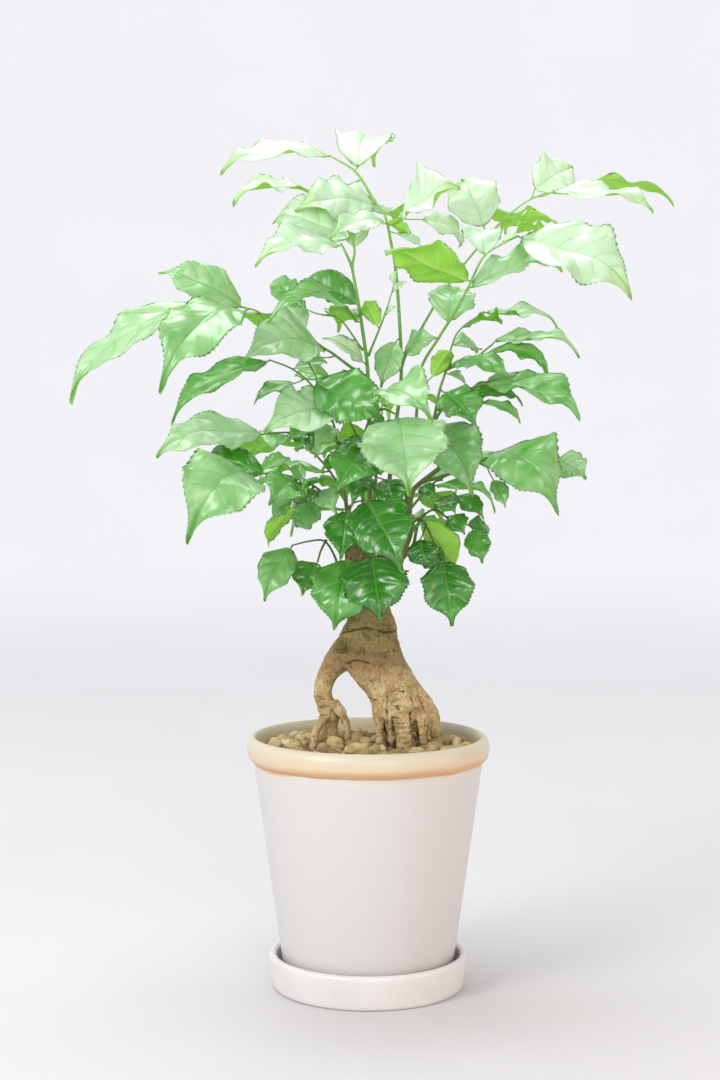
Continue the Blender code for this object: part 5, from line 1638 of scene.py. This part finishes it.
def saucer_glaze():
    """Glazed earthenware: satin white, a little greyer where the glaze is thin, with a soft gloss."""
    made, tree = new_material("satin_white_glaze")
    place = add(tree, "TexCoord").outputs["Object"]
    cloud = add(tree, "TexNoise", {"Vector": place, "Scale": 1 / (30 * MM), "Detail": 3.0})
    white = add(tree, "ValToRGB", {0: cloud.outputs["Fac"]})
    colour_steps(white, [(0.35, "#DBD8D6"), (0.65, "#E0DDDB")])
    return under_glaze(made, place, white.outputs[0], 0.3)


def river_pebble():
    """Worn river pebbles: dull khaki, olive and a few red-brown stones, with a fine sandy grain."""
    made, tree = new_material("worn_river_pebble")
    growth = add(tree, "Attribute", attribute_name="growth")
    tint = add(tree, "SeparateXYZ", {0: growth.outputs["Vector"]}).outputs[0]
    place = add(tree, "TexCoord").outputs["Object"]
    stone = colour_steps(
        add(tree, "ValToRGB", {0: tint}),
        [
            (0.0, "#8A6446"),
            (0.08, "#9C835A"),
            (0.28, "#A59366"),
            (0.5, "#B9A274"),
            (0.75, "#C5AB7A"),
            (1.0, "#D0BF95"),
        ],
    )
    cloud = add(tree, "TexNoise", {"Vector": place, "Scale": 1 / (5 * MM), "Detail": 5.0, "Roughness": 0.6})
    light = add(tree, "MapRange", {0: cloud.outputs["Fac"], 1: 0.3, 2: 0.7, 3: 0.72, 4: 1.2})
    colour = add(
        tree, "Mix", {0: 1.0, 6: stone.outputs[0], 7: light.outputs[0]}, blend_type="MULTIPLY", **IN_COLOUR
    )
    grain = add(tree, "TexNoise", {"Vector": place, "Scale": 1 / (0.9 * MM), "Detail": 4.0})
    skin = add(tree, "Bump", {"Strength": 0.5, "Distance": 0.2 * MM, "Height": grain.outputs["Fac"]})
    finish = {"Base Color": colour.outputs[2], "Roughness": 0.8, "Normal": skin.outputs[0]}
    return finished(made, add(tree, "BsdfPrincipled", finish))


def dark_grit():
    """Grit under the pebbles: dark brown crumbs about 2 mm wide, dark partly as soil and partly as painted
    shade in the gaps between the pebbles.
    """
    made, tree = new_material("brown_grit_and_gap_shade")
    place = add(tree, "TexCoord").outputs["Object"]
    crumbs = add(tree, "TexVoronoi", {"Vector": place, "Scale": 1 / (2 * MM)})
    # painted shade: darkest at the crumbs' edges, and dark all over for the shade between the pebbles
    brown = colour_steps(
        add(tree, "ValToRGB", {0: crumbs.outputs["Distance"]}), [(0.1, "#6A5B40"), (0.8, "#2E2519")]
    )
    skin = add(tree, "Bump", {"Strength": 0.8, "Distance": 0.6 * MM, "Height": crumbs.outputs["Distance"]})
    finish = {"Base Color": brown.outputs[0], "Roughness": 0.95, "Normal": skin.outputs[0]}
    return finished(made, add(tree, "BsdfPrincipled", finish))


def studio_floor():
    """Matt painted board: plain and pale, with a little glow far away, as on a lit sweep."""
    made, tree = new_material("matt_pale_board")
    place = add(tree, "TexCoord").outputs["Object"]
    cloud = add(tree, "TexNoise", {"Vector": place, "Scale": 3.0, "Detail": 2.0})
    pale = add(tree, "ValToRGB", {0: cloud.outputs["Fac"]})
    colour_steps(pale, [(0.3, "#D2D1D1"), (0.7, "#D5D4D4")])
    away = add(tree, "VectorMath", {0: place}, operation="LENGTH")
    glow = add(tree, "MapRange", {0: away.outputs["Value"], 1: 0.4, 2: 3.0, 3: 0.0, 4: SWEEP_GLOW})
    finish = {
        "Base Color": pale.outputs[0],
        "Roughness": 0.9,
        "Emission Color": linear("#F7F8FC"),
        "Emission Strength": glow.outputs[0],
    }
    made.cycles.emission_sampling = "NONE"
    return finished(made, add(tree, "BsdfPrincipled", finish))


# Studio


def area_light(name, place, target, size, power, colour):
    """A round soft light that shines from the place towards the target."""
    lamp = bpy.data.lights.new(name, "AREA")
    lamp.shape = "DISK"
    lamp.size = size
    lamp.energy = power
    lamp.color = linear(colour)[:3]
    made = bpy.data.objects.new(name, lamp)
    made.location = place
    made.rotation_euler = (Vector(target) - Vector(place)).to_track_quat("-Z", "Y").to_euler()
    bpy.context.scene.collection.objects.link(made)


def camera():
    """The camera, where the photograph was taken from."""
    lens = bpy.data.cameras.new("camera")
    lens.lens = LENS
    lens.sensor_width = SENSOR
    lens.clip_start = 0.05
    eye = bpy.data.objects.new("camera", lens)
    eye.location = EYE
    eye.rotation_euler = (math.radians(90 - EYE_PITCH), 0, 0)
    bpy.context.scene.collection.objects.link(eye)
    bpy.context.scene.camera = eye


def lights():
    """Soft light all round, with a key from the left."""
    bpy.context.scene.view_settings.view_transform = "Standard"
    world = bpy.data.worlds.new("soft_studio")
    world.use_nodes = True
    sky = world.node_tree.nodes["Background"]
    sky.inputs["Color"].default_value = linear("#F1F5FC")
    sky.inputs["Strength"].default_value = SKY
    bpy.context.scene.world = world
    for lamp in LAMPS:
        area_light(*lamp)


def backdrop():
    """A plain pale floor that sweeps up all round."""
    points = []
    for away, high in FLOOR_SWEEP:
        points += [(x, y, high) for x, y in ring(away, FLOOR_SPOKES)]
    faces = bands(len(FLOOR_SWEEP), FLOOR_SPOKES)
    faces.append(tuple(reversed(range(FLOOR_SPOKES))))
    mesh = bpy.data.meshes.new("floor")
    mesh.from_pydata(points, [], faces)
    mesh.flip_normals()
    mesh.materials.append(studio_floor())
    mesh.shade_smooth()
    floor = bpy.data.objects.new("floor", mesh)
    bpy.context.scene.collection.objects.link(floor)


camera()
lights()
backdrop()
turned("glazed_pot", pot_profile(), [pot_glaze()], ["pot"], POT_WOBBLE)
turned("glazed_saucer", saucer_profile(), [saucer_glaze()], ["saucer"], SAUCER_WOBBLE)
grit = dark_grit()
gravel([river_pebble(), grit])
trunk([corky_bark()])
leaf_materials = [leaf_upper(), leaf_underside(), green_stalk()]
stalks, leaves = crown()
for name in STEMS:
    leafy_stem(name, stalks[name], leaves[name], STEM_AGES_AND_LIGHT[name], leaf_materials)

# The soil keeps its solid and gets the grit's finish
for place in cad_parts["soil"].material_slots:
    place.material = grit

bpy.context.view_layer.update()
